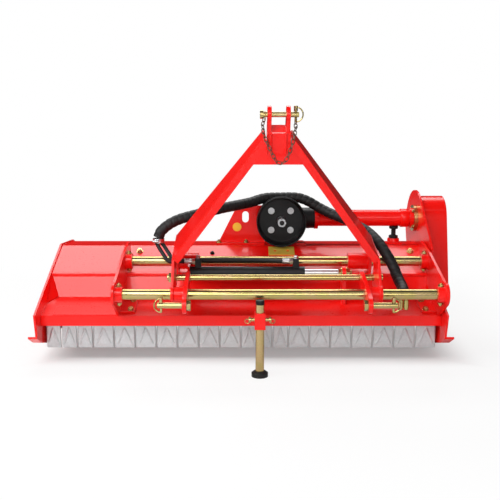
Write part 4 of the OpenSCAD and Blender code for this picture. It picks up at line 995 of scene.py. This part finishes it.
# %% Gearbox castings
casting = Shape()
CAST_HALF, CAST_BACK_X = 4, 104  # half a rib's thickness, and where ribs end inside the wall
GEAR_RIGHT_X, GEAR_BACK_Y, FILLER_Y, FILLER_Z = 243, 520, 452, 588
for z in (465, DRIVE_Z, 569):
    casting.block((98, 385, z - CAST_HALF), (CAST_BACK_X, 500, z + CAST_HALF))
for y in (400, 490):
    casting.block((98.5, y - CAST_HALF, 450), (CAST_BACK_X, y + CAST_HALF, 577))
boss = [(-1, 56), (10, 56), (12, 54), (12, 46), (60, 46)]
casting.turned(at(GEAR_RIGHT_X, DRIVE_Y, DRIVE_Z), (1, 0, 0), boss, 48)
filler = [(-0.5, 22), (3, 22), (4, 20)]
casting.turned(at(GEAR_X, FILLER_Y, FILLER_Z), UPWARDS, filler, 32)
back_cover = [(-1, 60), (6, 60), (8, 57)]
casting.turned(at(GEAR_X, GEAR_BACK_Y, DRIVE_Z), (0, 1, 0), back_cover, 40)
casting.piece("gearbox_castings", "deck", "black_iron")

# %% Red plates on the deck
plates = Shape()
for way in (-1, 1):
    end = way * HALF_W
    gusset = [off_deck(end, 156), off_deck(end - way * 36, 110), off_deck(end, 50)]
    plates.plate(gusset, Vector((way * 0.004, 0.003, -0.003)))
doubler = ((-729, -43), (-482, -43), (-482, 20), (-496, 29), (-722, 29), (-729, 22))
plates.plate([off_deck(x, y) for x, y in doubler], deck_up(0) * 0.003)
lip = [at(-HALF_W + 1, y, z) for y, z in (CREASE, (147.7, 326.5), (147.7, 314))]
plates.plate(lip, at(HALF_W - 1, 0, 0) - at(1 - HALF_W, 0, 0))
plates.piece("deck_plates", "deck", "red_paint")

# %% Blank disc
disc = Shape()
disc.turned(at(-17, 392, 484), (0, -1, 0), [(-0.2, 19), (0.5, 19), (0.6, 18.6)], 48)
disc.piece("blank_disc", "deck", "yellow_film")

# %% [markdown]
# ## Studio
# The studio is plain: a pale floor, a white surround and five soft lights. The two strongest hang
# behind the machine and in front of it, where the slopes of the deck mirror them; a low one fills
# the front, and two small ones stand at the sides, the left one stronger. A round wall and a
# ceiling of dim card give bright metal something dark to mirror. All of it is plain white to the
# camera, except the floor: there plain white is painted over the machine's shadow, about a third of
# it under the machine, most of it beside the machine and all of it further away.

# %% Surround
scene = bpy.context.scene
scene.view_settings.view_transform = "Standard"
world = bpy.data.worlds.new("studio")
scene.world = world
world.use_nodes = True
sky = Tree(world.node_tree)
kinds = ("Camera", "Glossy", "Transmission")
rays = [sky.node("ShaderNodeLightPath", out=f"Is {kind} Ray") for kind in kinds]
seen = rays[0].math("MAXIMUM", rays[1].math("MAXIMUM", rays[2]))
surround = sky.tree.nodes["Background"]
surround.inputs["Color"].default_value = (1, 1, 1, 1)
WORLD_LIGHT = 0.3
sky.tree.links.new((WORLD_LIGHT + (1 - WORLD_LIGHT) * seen).socket, surround.inputs["Strength"])


# %% Floor, wall and ceiling
FLOOR_BESIDE_X, FLOOR_BESIDE_Y, FLOOR_AWAY = (0.7, 0.95), (0.17, 0.32), (0.9, 1.6)
WHITE_UNDER, WHITE_BESIDE, WHITE_AWAY = 0.3, 0.55, 0.15


def stage_piece(name, points, faces, grey, shown):
    """A stage piece whose shader is mixed with plain white for the camera by the rule shown."""
    mesh = bpy.data.meshes.new(name)
    mesh.from_pydata(points, [], faces)
    sheet = bpy.data.objects.new(name, mesh)
    scene.collection.objects.link(sheet)
    f = Finish(name, Base_Color=(grey, grey, grey, 1), Roughness=0.9, Specular_IOR_Level=0.0)
    camera_ray = f.node("ShaderNodeLightPath", out="Is Camera Ray")
    white = f.node("ShaderNodeEmission", {}, {"Color": (1, 1, 1, 1), "Strength": 1.0})
    plain = Wire(f, f.shader.outputs[0])
    mixed = f.node("ShaderNodeMixShader", {}, {0: camera_ray * shown(f), 1: plain, 2: white})
    f.tree.links.new(mixed.socket, f.tree.nodes["Material Output"].inputs["Surface"])
    mesh.materials.append(f.material)


def near_machine(f):
    """Share of plain white painted over the floor and its shadow: least under the machine, more
    beside it, all further away.
    """
    parts = f.node("ShaderNodeSeparateXYZ", {}, {0: f.place})
    x, y = (Wire(f, socket).math("ABSOLUTE") for socket in parts.socket.node.outputs[:2])
    beside = f.steps(x, *FLOOR_BESIDE_X).math("MAXIMUM", f.steps(y, *FLOOR_BESIDE_Y))
    away = f.steps(x.math("MAXIMUM", y), *FLOOR_AWAY)
    return WHITE_UNDER + WHITE_BESIDE * beside + WHITE_AWAY * away


def all_white(f):
    return 1.0


def level(x, y0, y1, z):
    """The corners of a level sheet from -x to x and from y0 to y1, at height z."""
    return [(-x, y0, z), (x, y0, z), (x, y1, z), (-x, y1, z)]


FLOOR_GREY, CARD_GREY, ONE_FACE = 0.8, 0.06, [(0, 1, 2, 3)]
stage_piece("floor", level(30, -30, 30, 0), ONE_FACE, FLOOR_GREY, near_machine)
WALL_R, WALL_H, WALL_SIDES = 6.0, 6.0, 48
turns = [2 * math.pi * k / WALL_SIDES for k in range(WALL_SIDES)]
wall = [(WALL_R * math.cos(a), WALL_R * math.sin(a), z) for z in (0, WALL_H) for a in turns]
panels = [(k, k - 1, k - 1 + WALL_SIDES, k + WALL_SIDES) for k in range(1, WALL_SIDES)]
panels.append((0, WALL_SIDES - 1, 2 * WALL_SIDES - 1, WALL_SIDES))
stage_piece("wall", wall, panels, CARD_GREY, all_white)
stage_piece("ceiling", level(4.5, -2.4, 1.2, 3.9), ONE_FACE, CARD_GREY, all_white)


# %% Lights
def soft_light(name, place, target, size, watts):
    """A wide soft light that faces its target."""
    data = bpy.data.lights.new(name, "AREA")
    data.shape = "RECTANGLE"
    data.size, data.size_y = size
    data.energy = watts
    lamp = bpy.data.objects.new(name, data)
    lamp.location = place
    lamp.rotation_euler = (Vector(target) - Vector(place)).to_track_quat("-Z", "Y").to_euler()
    scene.collection.objects.link(lamp)


soft_light("rear_bank", (-0.3, 1.75, 3.1), (0, 0, 0.4), (4.2, 1.3), 95)
soft_light("front_bank", (-1.6, -2.75, 2.9), (0, -0.1, 0.3), (2.8, 1.2), 100)
soft_light("front_fill", (0.3, -4.6, 1.8), (0, 0, 0.4), (2.8, 1.2), 55)
soft_light("left_bank", (-3.7, -1.7, 2.3), (0, 0, 0.5), (1.6, 1.6), 80)
soft_light("right_bank", (3.7, -1.7, 2.3), (0, 0, 0.5), (1.6, 1.6), 12)
